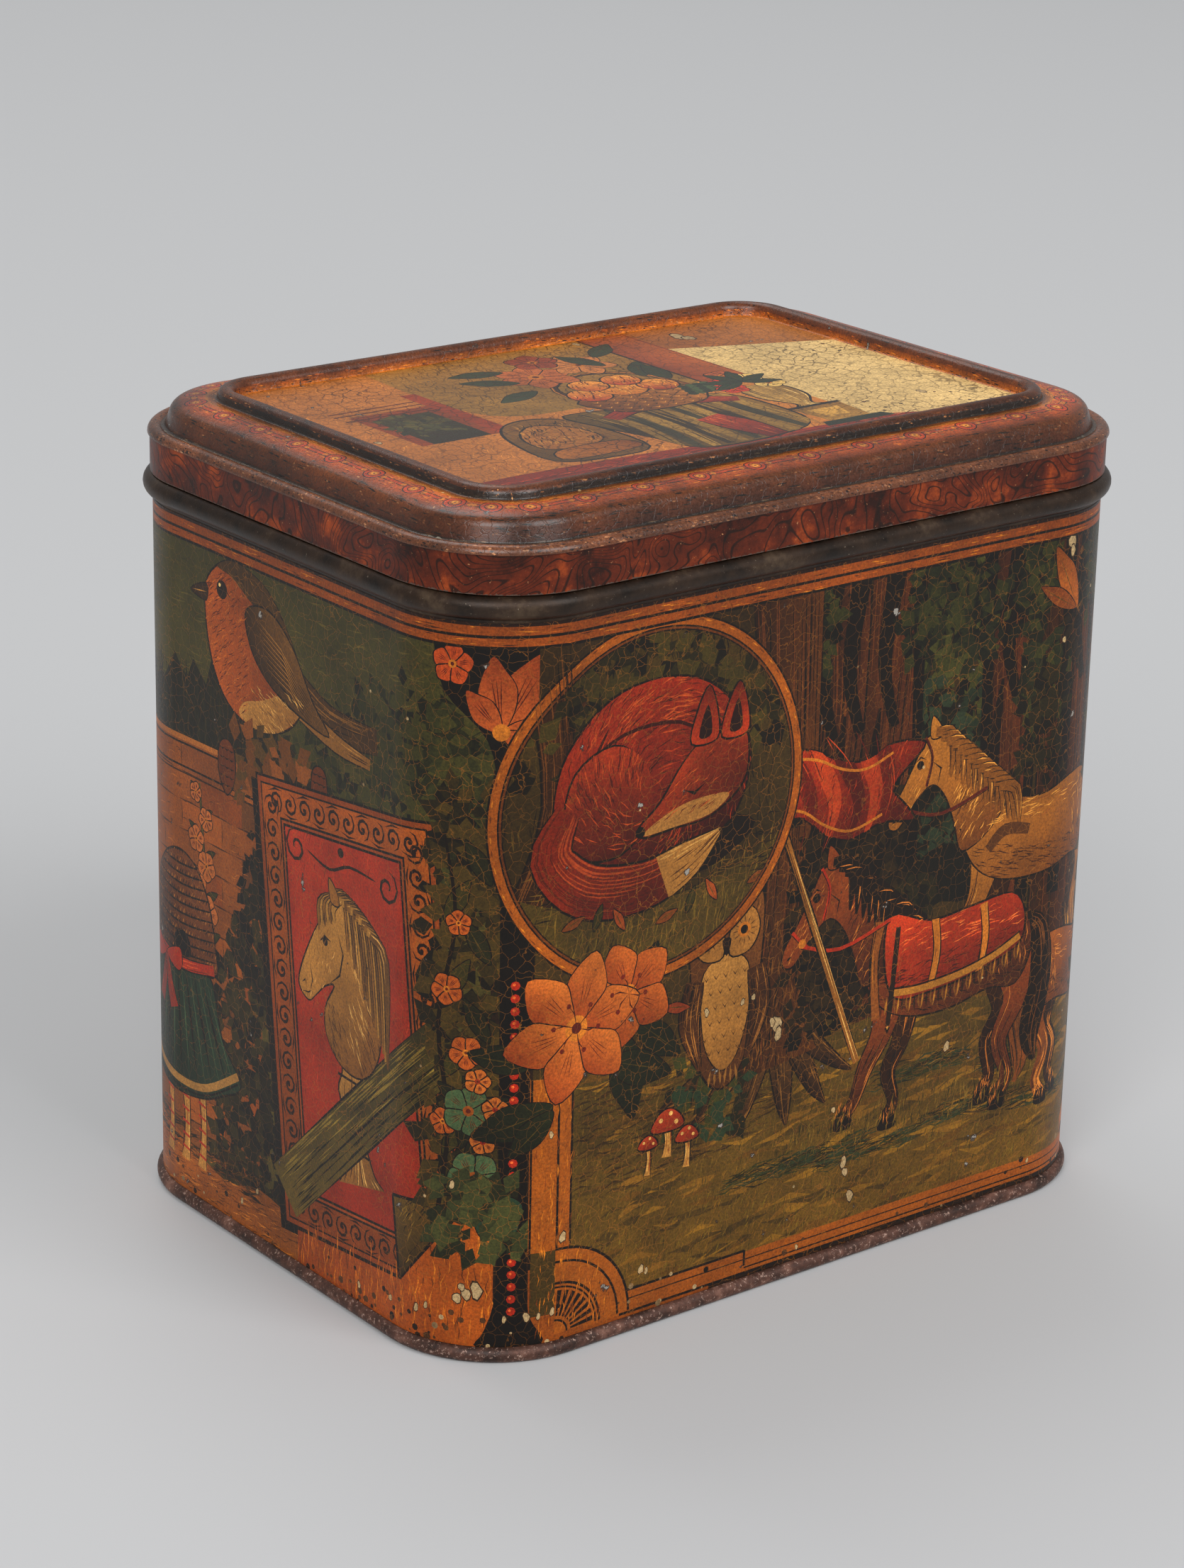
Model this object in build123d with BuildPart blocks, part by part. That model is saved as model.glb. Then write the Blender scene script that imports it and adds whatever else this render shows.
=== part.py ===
from build123d import *
from math import acos, degrees
import os

# Printed tinplate biscuit tin with a hinged lid.
# Millimetres. +Z is up, the long front faces -Y and the hinge is along the rear, +Y.
# The origin is on the standing plane, at the middle of the plan.
# An inset is measured inwards from the wall's outside, and a heading from outwards, anticlockwise.

# Driving dimensions
length = 150.0
width = 110.5
corner_radius = 21.4
sheet = 0.3

# Foot, where the bottom's edge is rolled round the foot of the wall
foot_roll_radius = 1.4
foot_roll_inset = 0.2
foot_flat = 0.05
wall_foot = 0.5
bottom_height = 2.4
bottom_lip_inset = 1.4
bottom_lip_foot = 1.0

# Swaged bead that stops the lid, the plain neck above it and the rolled mouth
bead_height = 134.5
bead_radius = 2.05
bead_inset = 0.3
bead_fillet = 0.5
neck_inset = 0.4
mouth_height = 140.9
mouth_radius = 0.9
mouth_curl = 280
neck_wire_radius = 0.55

# Skirt of the lid
skirt_proud = 0.45
skirt_bottom = 136.7
skirt_top = 143.8
hinge_relief = 0.5
hinge_relief_length = 124.0

# Stamped top of the lid: sunk field, raised bead, hump, groove and rolled rim
field_height = 148.6
field_inset = 15.29
panel_foot_radius = 0.5
panel_bead_radius = 1.5
panel_bead_slope = 75
panel_bead_inner_run = 1.05
panel_bead_outer_run = 0.59
hump_heading = 8
hump_radius = 14.0
shoulder_heading = -18
shoulder_radius = 2.4
fall_heading = -72
fall_run = 2.35
groove_radius = 0.6
rim_heading = 40
rim_radius = 1.35

# Hinge
hinge_inset = 0.85
hinge_wire_radius = 0.7
hinge_running_gap = 0.05
strap_sheet = 0.25
strap_x = 32.0
strap_width = 9.0
strap_top = 142.4
slot_side_gap = 0.5
slot_bottom = 132.9
slot_top = 137.3
slot_inset = 0.35
leaf_length = 100.0
leaf_bottom = 127.5
leaf_top = 133.8
leaf_gap_bottom = 132.4
leaf_side_gap = 0.6

# Laps of the wall's and the skirt's strips, inside at the rear
side_seam_x = 46.0
side_seam_bottom = 3.2
side_seam_top = 127.0
skirt_lap_bottom = 137.6
skirt_lap_top = 143.1
lap_width = 6.0

half_length = length / 2
half_width = width / 2
corner_x = half_length - corner_radius
corner_y = half_width - corner_radius
hinge_y = half_width - hinge_inset

os.makedirs("parts", exist_ok=True)


def save(part, node):
    part.label = node
    export_step(part, f"parts/{node}.step")


def across(x):
    """Section plane across the rear wall: local x runs outwards from it, local y is height."""
    return Plane(origin=(x, half_width, 0), x_dir=(0, 1, 0), z_dir=(1, 0, 0))


# The same section plane at the right side, where the sweeps round the plan have their section
side_section = Plane(origin=(half_length, 0, 0), x_dir=(1, 0, 0), z_dir=(0, -1, 0))

# Plan of the wall's outside
with BuildLine() as plan:
    Line((half_length, -corner_y), (half_length, corner_y))
    CenterArc((corner_x, corner_y), corner_radius, 0, 90)
    Line((corner_x, half_width), (-corner_x, half_width))
    CenterArc((-corner_x, corner_y), corner_radius, 90, 90)
    Line((-half_length, corner_y), (-half_length, -corner_y))
    CenterArc((-corner_x, -corner_y), corner_radius, 180, 90)
    Line((-corner_x, -half_width), (corner_x, -half_width))
    CenterArc((corner_x, -corner_y), corner_radius, 270, 90)
wall_plan = plan.wire()

# Body wall: its outside runs up from the foot, round the bead, up the neck and round the mouth.
# Two small fillets, tangent to the bead, turn the section out of the wall and back into the neck.
reach = bead_radius + bead_fillet
low_turn = degrees(acos((bead_inset + bead_fillet) / reach))
high_turn = degrees(acos((bead_inset - neck_inset + bead_fillet) / reach))
low_fillet_height = bead_height - (reach**2 - (bead_inset + bead_fillet) ** 2) ** 0.5
with BuildPart() as body_wall:
    with BuildSketch(side_section):
        with BuildLine():
            wall = Line((0, wall_foot), (0, low_fillet_height))
            low = JernArc(wall @ 1, wall % 1, bead_fillet, -low_turn)
            bead = JernArc(low @ 1, low % 1, bead_radius, low_turn + high_turn)
            high = JernArc(bead @ 1, bead % 1, bead_fillet, -high_turn)
            neck = Line(high @ 1, (-neck_inset, mouth_height))
            JernArc(neck @ 1, neck % 1, mouth_radius, mouth_curl)
            offset(amount=sheet, side=Side.LEFT)
        make_face()
    sweep(path=wall_plan)
    with BuildSketch(Plane.XY.offset(slot_bottom)):
        with Locations((-strap_x, half_width - slot_inset), (strap_x, half_width - slot_inset)):
            Rectangle(
                strap_width + 2 * slot_side_gap,
                2 * bead_radius,
                align=(Align.CENTER, Align.MIN),
            )
    extrude(amount=slot_top - slot_bottom, mode=Mode.SUBTRACT)
save(body_wall.part, "body_wall")

# Bottom: flat plate, turned down at its edge and rolled round the foot of the wall.
# The roll is pressed a little flat where the tin stands on it.
with BuildPart() as bottom_end:
    with BuildSketch(side_section):
        with Locations((-foot_roll_inset, foot_roll_radius - foot_flat)):
            Circle(foot_roll_radius)
        with Locations((-foot_roll_inset, 0)):
            Rectangle(
                foot_roll_radius * 2,
                foot_roll_radius,
                align=(Align.CENTER, Align.MAX),
                mode=Mode.SUBTRACT,
            )
        with Locations((-bottom_lip_inset, bottom_lip_foot)):
            Rectangle(
                sheet,
                bottom_height + sheet - bottom_lip_foot,
                align=(Align.MAX, Align.MIN),
            )
        with Locations((0, wall_foot)):
            Rectangle(sheet, foot_roll_radius * 2, align=(Align.MAX, Align.MIN), mode=Mode.SUBTRACT)
    sweep(path=wall_plan)
    with BuildSketch(Plane.XY.offset(bottom_height)):
        RectangleRounded(
            length - 2 * bottom_lip_inset,
            width - 2 * bottom_lip_inset,
            corner_radius - bottom_lip_inset,
        )
    extrude(amount=sheet)
save(bottom_end.part, "bottom_end")

# Iron wire in the rolled mouth
with BuildPart() as neck_wire:
    with BuildSketch(side_section):
        with Locations((-neck_inset - mouth_radius, mouth_height)):
            Circle(neck_wire_radius)
    sweep(path=wall_plan)
save(neck_wire.part, "neck_wire")

# Lap of the wrapper's two ends
with BuildPart() as side_seam:
    with BuildSketch(across(side_seam_x - lap_width / 2)):
        with Locations((-sheet, side_seam_bottom)):
            Rectangle(sheet, side_seam_top - side_seam_bottom, align=(Align.MAX, Align.MIN))
    extrude(amount=lap_width)
save(side_seam.part, "side_seam")

# Hinge wire, in the hollow of the bead
with BuildPart() as hinge_wire:
    with BuildSketch(across(-leaf_length / 2)):
        with Locations((-hinge_inset, bead_height)):
            Circle(hinge_wire_radius)
    extrude(amount=leaf_length)
save(hinge_wire.part, "hinge_wire")

# Hinge leaf: strip on the inside of the wall, curled round the wire in three knuckles
with BuildPart() as hinge_leaf:
    with BuildSketch(across(-leaf_length / 2)):
        with Locations((-sheet, leaf_bottom)):
            Rectangle(strap_sheet, leaf_top - leaf_bottom, align=(Align.MAX, Align.MIN))
        with Locations((-hinge_inset, bead_height)):
            Circle(hinge_wire_radius + strap_sheet)
            Circle(hinge_wire_radius, mode=Mode.SUBTRACT)
    extrude(amount=leaf_length)
    with BuildSketch(Plane.XY.offset(leaf_gap_bottom)):
        with Locations((-strap_x, hinge_y), (strap_x, hinge_y)):
            Rectangle(strap_width + 2 * leaf_side_gap, 4 * hinge_wire_radius)
    extrude(amount=slot_top - leaf_gap_bottom, mode=Mode.SUBTRACT)
save(hinge_leaf.part, "hinge_leaf")

# Stamped top of the lid: its upper face runs outwards from the field to the lip of the rim
with BuildPart() as lid_panel:
    with BuildSketch(side_section):
        with BuildLine():
            field = Line((-field_inset - panel_bead_radius, field_height), (-field_inset, field_height))
            inner_foot = JernArc(field @ 1, field % 1, panel_foot_radius, panel_bead_slope)
            climb = PolarLine(inner_foot @ 1, panel_bead_inner_run, direction=inner_foot % 1)
            crest = JernArc(climb @ 1, climb % 1, panel_bead_radius, -2 * panel_bead_slope)
            drop = PolarLine(crest @ 1, panel_bead_outer_run, direction=crest % 1)
            outer_foot = JernArc(
                drop @ 1, drop % 1, panel_foot_radius, panel_bead_slope + hump_heading
            )
            hump = JernArc(
                outer_foot @ 1, outer_foot % 1, hump_radius, shoulder_heading - hump_heading
            )
            shoulder = JernArc(hump @ 1, hump % 1, shoulder_radius, fall_heading - shoulder_heading)
            fall = PolarLine(shoulder @ 1, fall_run, direction=shoulder % 1)
            groove = JernArc(fall @ 1, fall % 1, groove_radius, rim_heading - fall_heading)
            JernArc(groove @ 1, groove % 1, rim_radius, -90 - rim_heading)
            offset(amount=sheet, side=Side.RIGHT)
        make_face()
    sweep(path=wall_plan)
    with BuildSketch(Plane.XY.offset(field_height - sheet)):
        RectangleRounded(
            length - 2 * field_inset, width - 2 * field_inset, corner_radius - field_inset
        )
    extrude(amount=sheet)
save(lid_panel.part, "lid_panel")

# Skirt of the lid, trimmed a little shorter along the hinge to clear the bead as it swings
with BuildPart() as lid_skirt:
    with BuildSketch(side_section):
        with Locations((skirt_proud, skirt_bottom)):
            Rectangle(sheet, skirt_top - skirt_bottom, align=(Align.MAX, Align.MIN))
    sweep(path=wall_plan)
    with BuildSketch(Plane.XY.offset(skirt_bottom)):
        with Locations((0, half_width)):
            Rectangle(hinge_relief_length, 2 * corner_radius)
    extrude(amount=hinge_relief, mode=Mode.SUBTRACT)
save(lid_skirt.part, "lid_skirt")

# Lap of the skirt strip
with BuildPart() as skirt_lap:
    with BuildSketch(across(-lap_width / 2)):
        with Locations((skirt_proud - sheet, skirt_lap_bottom)):
            Rectangle(strap_sheet, skirt_lap_top - skirt_lap_bottom, align=(Align.MAX, Align.MIN))
    extrude(amount=lap_width)
save(skirt_lap.part, "skirt_lap")

# Hinge straps: fixed inside the skirt, down through the slots and curled round the wire
curl_inside = hinge_wire_radius + hinge_running_gap
for side, x in (("left", -strap_x), ("right", strap_x)):
    with BuildPart() as hinge_strap:
        with BuildSketch(across(x - strap_width / 2)):
            with Locations((-hinge_inset, bead_height)):
                Circle(curl_inside + strap_sheet)
            with Locations((skirt_proud - sheet, bead_height)):
                Rectangle(strap_sheet, strap_top - bead_height, align=(Align.MAX, Align.MIN))
            with Locations((-hinge_inset, bead_height)):
                Circle(curl_inside, mode=Mode.SUBTRACT)
        extrude(amount=strap_width)
    save(hinge_strap.part, f"hinge_strap_{side}")
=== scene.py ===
import random
from collections import Counter, defaultdict
from itertools import chain
from math import atan2, ceil, cos, degrees, pi, radians, sin, tan

import bmesh
import bpy
import numpy as np
from mathutils import Matrix, Vector
from mathutils.geometry import delaunay_2d_cdt


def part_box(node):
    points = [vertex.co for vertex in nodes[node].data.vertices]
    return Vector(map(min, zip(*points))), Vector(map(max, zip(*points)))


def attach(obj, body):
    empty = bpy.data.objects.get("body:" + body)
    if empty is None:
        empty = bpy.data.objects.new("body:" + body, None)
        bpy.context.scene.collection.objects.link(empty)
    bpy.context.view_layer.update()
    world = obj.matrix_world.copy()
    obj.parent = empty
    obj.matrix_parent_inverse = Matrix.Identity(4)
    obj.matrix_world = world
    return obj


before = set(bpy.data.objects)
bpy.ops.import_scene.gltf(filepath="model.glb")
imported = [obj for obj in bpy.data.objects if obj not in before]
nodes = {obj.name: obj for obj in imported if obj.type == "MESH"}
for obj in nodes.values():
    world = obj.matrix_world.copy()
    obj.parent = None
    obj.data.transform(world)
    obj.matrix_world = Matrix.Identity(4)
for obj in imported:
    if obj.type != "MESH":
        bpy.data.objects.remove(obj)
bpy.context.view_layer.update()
MM = 0.001


# ---------------------------------------------------------------------------------------------
# The wrapper: one strip of printed tinplate bent round four corners. The lid, the bead and the
# foot all follow the same rounded rectangle, so its plan comes first.

skirt_proud = 0.45
half_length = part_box("lid_skirt")[1].x / MM - skirt_proud
half_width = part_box("lid_skirt")[1].y / MM - skirt_proud
corner_radius = 21.4
quarter = pi / 2 * corner_radius
long_run = 2 * (half_length - corner_radius)
short_run = 2 * (half_width - corner_radius)
girth = 4 * quarter + 2 * long_run + 2 * short_run
corner_x = half_length - corner_radius
corner_y = half_width - corner_radius
corner_centres = [(-corner_x, -corner_y), (corner_x, -corner_y), (corner_x, corner_y), (-corner_x, corner_y)]


def round_the_tin(s, outset=0.0):
    """The point s millimetres round the wall from the front left corner's middle, and its outward way."""
    s = (s + quarter / 2) % girth
    for turn, (x, y) in enumerate(corner_centres):
        run = long_run if turn % 2 == 0 else short_run
        if s <= quarter + run or turn == 3:
            angle = radians(180 + 90 * turn) + min(s, quarter) / corner_radius
            out = Vector((cos(angle), sin(angle), 0))
            along = Vector((-out.y, out.x, 0)) * max(0, s - quarter)
            return Vector((x, y, 0)) + out * (corner_radius + outset) + along, out
        s -= quarter + run


def linear(code, strength=1.0):
    """A linear colour from an sRGB hex code."""
    parts = [int(code[i : i + 2], 16) / 255 for i in (1, 3, 5)]
    return tuple(
        (c / 12.92 if c <= 0.04045 else ((c + 0.055) / 1.055) ** 2.4) * strength for c in parts) + (1.0,)


def add(tree, kind, sockets=None, **settings):
    """Adds one shader node. Its sockets hold values, or are linked to a socket or to a node's own output."""
    made = tree.nodes.new("ShaderNode" + kind)
    for name, value in settings.items():
        setattr(made, name, value)
    for name, value in (sockets or {}).items():
        if isinstance(value, bpy.types.Node):
            value = next(output for output in value.outputs if output.enabled)
        if isinstance(value, bpy.types.NodeSocket):
            tree.links.new(value, made.inputs[name])
        else:
            made.inputs[name].default_value = value
    return made


def new_material(name):
    """An empty material with its output node and the object's coordinates."""
    material = bpy.data.materials.new(name)
    material.use_nodes = True
    tree = material.node_tree
    tree.nodes.clear()
    return material, tree, add(tree, "TexCoord").outputs["Object"]


def finish_material(tree, sockets):
    """Ends a material with its surface."""
    shader = add(tree, "BsdfPrincipled", sockets)
    add(tree, "OutputMaterial", {"Surface": shader})


def dress(name, material):
    """Gives a CAD node its finish."""
    nodes[name].data.materials.clear()
    nodes[name].data.materials.append(material)


# ---------------------------------------------------------------------------------------------
# Drawing in inks. A lithographed sheet is flat colours laid one over another from stones, so a
# picture here is a list of outlines in millimetres on the flat sheet, the later ones on top.

BLACK = "#1c1611"
UMBER = "#2e2117"
BARK = "#56301b"
RUST = "#8a4a20"
RED = "#a83a1e"
MAROON = "#5c2415"
GOLD = "#93591f"
PALE_GOLD = "#bd8236"
CREAM = "#b3905a"
OLIVE = "#524a26"
FOREST = "#25281b"
TEAL = "#2f4a42"
PALE_TEAL = "#4d6a58"


def through(points, closed=False, steps=4):
    """A smooth line through a few points."""
    points = [Vector(p) for p in points]
    n = len(points)
    smooth = []
    for i in range(n if closed else n - 1):
        a, b, c, d = [
            points[j % n] if closed else points[max(0, min(n - 1, j))] for j in (i - 1, i, i + 1, i + 2)]
        for k in range(steps):
            t = k / steps
            smooth.append(
                0.5 * (
                    2 * b + (c - a) * t + (2 * a - 5 * b + 4 * c - d) * t**2 + (3 * b - a - 3 * c + d) * t**3
                ))
    if not closed:
        smooth.append(points[-1])
    return smooth


def ways(points):
    """The unit vector to the left of the line at each point."""
    found = []
    for i in range(len(points)):
        along = points[min(i + 1, len(points) - 1)] - points[max(i - 1, 0)]
        along = along.normalized() if along.length > 0 else Vector((1, 0))
        found.append(Vector((-along.y, along.x)))
    return found


def holds(outline, p):
    """Whether a point is inside an outline."""
    inside = False
    for a, b in zip(outline, outline[1:] + outline[:1]):
        if (a[1] > p[1]) != (b[1] > p[1]) and p[0] < a[0] + (p[1] - a[1]) * (b[0] - a[0]) / (b[1] - a[1]):
            inside = not inside
    return inside


def oblong(left, foot, right, head):
    """The corners of an upright rectangle."""
    return [(left, foot), (right, foot), (right, head), (left, head)]


def stones(inks):
    """The inks of a mixed tone, one for each stone, from a list or from one line of codes."""
    return inks.split() if isinstance(inks, str) else inks


def spoke(x, z, reach, angle):
    """The point at a reach and an angle from a middle."""
    return (x + reach * cos(angle), z + reach * sin(angle))


class Picture:
    """The inks of one printed sheet, from the ground up."""

    def __init__(self, seed):
        self.inks = []
        self.chance = random.Random(seed)

    def fill(self, outline, ink, inside=None):
        """Lays one flat ink, or one that shades from a first colour to a second at an angle in degrees."""
        outline = [Vector(p) for p in outline]
        area = sum(a.x * b.y - b.x * a.y for a, b in zip(outline, outline[1:] + outline[:1]))
        if area < 0:
            outline.reverse()
        if isinstance(ink, str):
            ink = (ink, ink, 0)
        way = Vector((cos(radians(ink[2])), sin(radians(ink[2]))))
        reach = [p.dot(way) for p in outline]
        low, span = min(reach), max(max(reach) - min(reach), 1e-6)
        first, last = Vector(linear(ink[0])), Vector(linear(ink[1]))
        self.inks.append((outline, first, last, way, low, span, inside))
        return len(self.inks) - 1

    def blob(self, points, ink, edge=0.3, inside=None, line=BLACK):
        """A smooth shape with a drawn contour."""
        outline = through(points, closed=True)
        shape = self.fill(outline, ink, inside)
        if edge:
            part = max(8, len(outline) // 4)
            ring = outline + outline[: part // 2]
            for start in range(0, len(outline), part):
                self.line(ring[start : start + part + 3], edge, line, inside)
        return shape

    def line(self, points, width, ink=BLACK, inside=None):
        """A brush line, thin at its ends."""
        points = [Vector(p) for p in points]
        if len(points) < 2:
            return
        if len(points) == 2:
            points.insert(1, (points[0] + points[1]) / 2)
        side = ways(points)
        last = len(points) - 1
        wide = [width / 2 * sin(pi * (0.06 + 0.88 * i / last)) ** 0.6 for i in range(last + 1)]
        left = [p + w * d for p, w, d in zip(points, side, wide)]
        right = [p - w * d for p, w, d in zip(points, side, wide)]
        self.fill([points[0]] + left[1:-1] + [points[-1]] + right[-2:0:-1], ink, inside)

    def rule(self, points, width, ink=BLACK, inside=None):
        """A ruled line of even width, with square ends."""
        points = [Vector(p) for p in points]
        side = ways(points)
        left = [p + w * width / 2 for p, w in zip(points, side)]
        right = [p - w * width / 2 for p, w in zip(points, side)]
        self.fill(left + right[::-1], ink, inside)

    def limb(self, points, widths, ink, grain=0, inks=(BLACK, PALE_GOLD), edge=0.3, inside=None, steps=4):
        """A form that follows a line, such as a trunk or a leg, with strokes along it."""
        spine = through(points, steps=steps)
        wide = [w.x for w in through([(w, 0) for w in widths], steps=steps)]
        side = ways(spine)

        def rail(f, first=0, last=len(spine)):
            return [spine[i] + side[i] * wide[i] * f / 2 for i in range(first, last)]

        shape = self.fill(rail(1) + rail(-1)[::-1], ink, inside)
        for _ in range(grain):
            f = self.chance.uniform(-0.92, 0.92)
            first = self.chance.randrange(0, max(1, len(spine) - 3))
            last = min(len(spine), first + self.chance.randint(3, max(4, len(spine) // 2)))
            dark = f + self.chance.uniform(-0.7, 0.7) < 0
            self.line(
                rail(f, first, last), self.chance.uniform(0.12, 0.3), inks[0] if dark else inks[1], shape)
        if edge:
            for f in (1, -1):
                self.line(rail(f), edge, BLACK, inside)
        return shape

    def scattered(self, area, count):
        """The points of a scatter that fall inside an area, each with its number."""
        area = [Vector(p) for p in area]
        low = Vector((min(p.x for p in area), min(p.y for p in area)))
        high = Vector((max(p.x for p in area), max(p.y for p in area)))
        for k in range(count):
            p = Vector((self.chance.uniform(low.x, high.x), self.chance.uniform(low.y, high.y)))
            if holds(area, p):
                yield k, p

    def strands(self, area, count, length, width, heading, inks, inside=None):
        """Short strokes scattered over an area: grass, fur, feathers or the shading of a form."""
        chance = self.chance
        for _, p in self.scattered(area, count):
            angle = radians(heading(p) if callable(heading) else heading) + chance.uniform(-0.18, 0.18)
            way = Vector((cos(angle), sin(angle))) * length * chance.uniform(0.6, 1.3)
            across = Vector((-way.y, way.x)) * chance.uniform(-0.15, 0.15)
            half = Vector((-way.y, way.x)).normalized() * width * chance.uniform(0.35, 0.65)
            middle = p + way / 2 + across
            self.fill([p, middle - half, p + way, middle + half], chance.choice(stones(inks)), inside)

    def leaf(self, x, y, angle, length, ink=FOREST, wide=0.36, vein=True, inside=None):
        """A pointed leaf with its midrib."""
        turn = Matrix.Rotation(radians(angle), 2)
        at = Vector((x, y))
        half = length * wide / 2
        shape = [(0, 0), (0.25, -0.75), (0.55, -1), (0.8, -0.55), (1, 0), (0.8, 0.6), (0.5, 1), (0.2, 0.7)]
        self.blob([at + turn @ Vector((u * length, v * half)) for u, v in shape], ink, 0.22, inside)
        if vein:
            self.line(
                [at + turn @ Vector((u * length, 0.1 * half)) for u in (0.05, 0.5, 0.92)], 0.2, OLIVE, inside
            )

    def leaves(self, area, count, size, inks, inside=None):
        """Foliage: small leaves scattered over an area, the nearer ones lighter."""
        chance = self.chance
        inks = stones(inks)
        shape = [(0, 0), (0.4, -0.32), (1, 0), (0.45, 0.34)]
        for k, p in self.scattered(area, count):
            angle = chance.uniform(0, 2 * pi)
            long = size * chance.uniform(0.6, 1.3)
            turn = Matrix.Rotation(angle, 2)
            ink = inks[min(len(inks) - 1, int(len(inks) * (k / count) * chance.uniform(0.6, 1.4)))]
            self.fill([p + turn @ Vector((u * long, v * long)) for u, v in shape], ink, inside)

    def flower(self, x, y, size, petals, ink, heart=PALE_GOLD, turn=0.0, point=0.25, inside=None):
        """An open flower with pointed petals."""
        at = Vector((x, y))
        for k in range(petals):
            spin = Matrix.Rotation(radians(turn + 360 * k / petals), 2)
            wide = tan(pi / petals) * 0.62
            shape = [
                (0.08, 0), (0.4, -wide * 0.7), (0.72, -wide), (1.0 + point * 0.2, -0.02), (0.74, wide),
                (0.4, wide * 0.7)]
            self.blob([at + spin @ Vector((u * size, v * size)) for u, v in shape], ink, 0.25, inside)
            for lift in (-0.3, 0, 0.3):
                self.line(
                    [at + spin @ Vector((u * size, lift * wide * size * u)) for u in (0.3, 0.55, 0.8)], 0.16,
                    MAROON, inside)
        self.disc(x, y, size * 0.2, heart, inside)
        self.disc(x, y, size * 0.09, MAROON, inside)

    def disc(self, x, y, radius, ink, inside=None, sides=12):
        """A round spot of ink."""
        turn = [2 * pi * k / sides for k in range(sides)]
        return self.fill([spoke(x, y, radius, a) for a in turn], ink, inside)

    def arc(self, x, y, radius, start, end, width, ink=BLACK, inside=None):
        """An arc of even width, in degrees."""
        steps = max(4, int(abs(end - start) / 8))
        turn = [radians(start + (end - start) * k / steps) for k in range(steps + 1)]
        self.rule([spoke(x, y, radius, a) for a in turn], width, ink, inside)

    def spiral(self, x, y, size, angle, hand, width, ink=BLACK, inside=None):
        """A scroll that winds into its eye."""
        points = []
        for k in range(13):
            t = k / 12
            turn = radians(angle) + hand * t * radians(500)
            points.append(spoke(x, y, size * (1 - t * 0.86), turn))
        self.line(points, width, ink, inside)


def showing(picture, low, high):
    """The numbers of the inks that show in part of a picture, less those that larger ones wholly cover."""
    cell = 0.4
    columns = int((high[0] - low[0]) / cell) + 2
    rows = int((high[1] - low[1]) / cell) + 2
    top = np.full((rows, columns), -1)
    boxes = []
    for number, (outline, *_, inside) in enumerate(picture.inks):
        u = [p.x for p in outline]
        v = [p.y for p in outline]
        if max(u) <= low[0] or min(u) >= high[0] or max(v) <= low[1] or min(v) >= high[1]:
            continue
        first, last = max(int((min(u) - low[0]) / cell), 0), min(int((max(u) - low[0]) / cell) + 1, columns)
        foot, head = max(int((min(v) - low[1]) / cell), 0), min(int((max(v) - low[1]) / cell) + 1, rows)
        boxes.append((number, first, last, foot, head))
        small = (max(u) - min(u)) * (max(v) - min(v)) < 12 or last - first < 3 or head - foot < 3
        if inside is not None or small:
            continue
        x = low[0] + (np.arange(first, last) + 0.5) * cell
        y = low[1] + (np.arange(foot, head)[:, None] + 0.5) * cell
        covered = np.zeros((head - foot, last - first), bool)
        for p, q in zip(outline, outline[1:] + outline[:1]):
            if p.y != q.y:
                covered ^= ((p.y > y) != (q.y > y)) & (x < p.x + (y - p.y) * (q.x - p.x) / (q.y - p.y))
        whole = covered.copy()
        whole[1:] &= covered[:-1]
        whole[:-1] &= covered[1:]
        whole[:, 1:] &= covered[:, :-1]
        whole[:, :-1] &= covered[:, 1:]
        top[foot:head, first:last][whole] = number
    needed = set()
    kept = []
    for number, first, last, foot, head in reversed(boxes):
        if number in needed or not (top[foot:head, first:last] > number).all():
            kept.append(number)
            if picture.inks[number][6] is not None:
                needed.add(picture.inks[number][6])
    return kept[::-1]


def edges_of(face):
    """The pairs of neighbours round a face."""
    return zip(face, face[1:] + face[:1])


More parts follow.
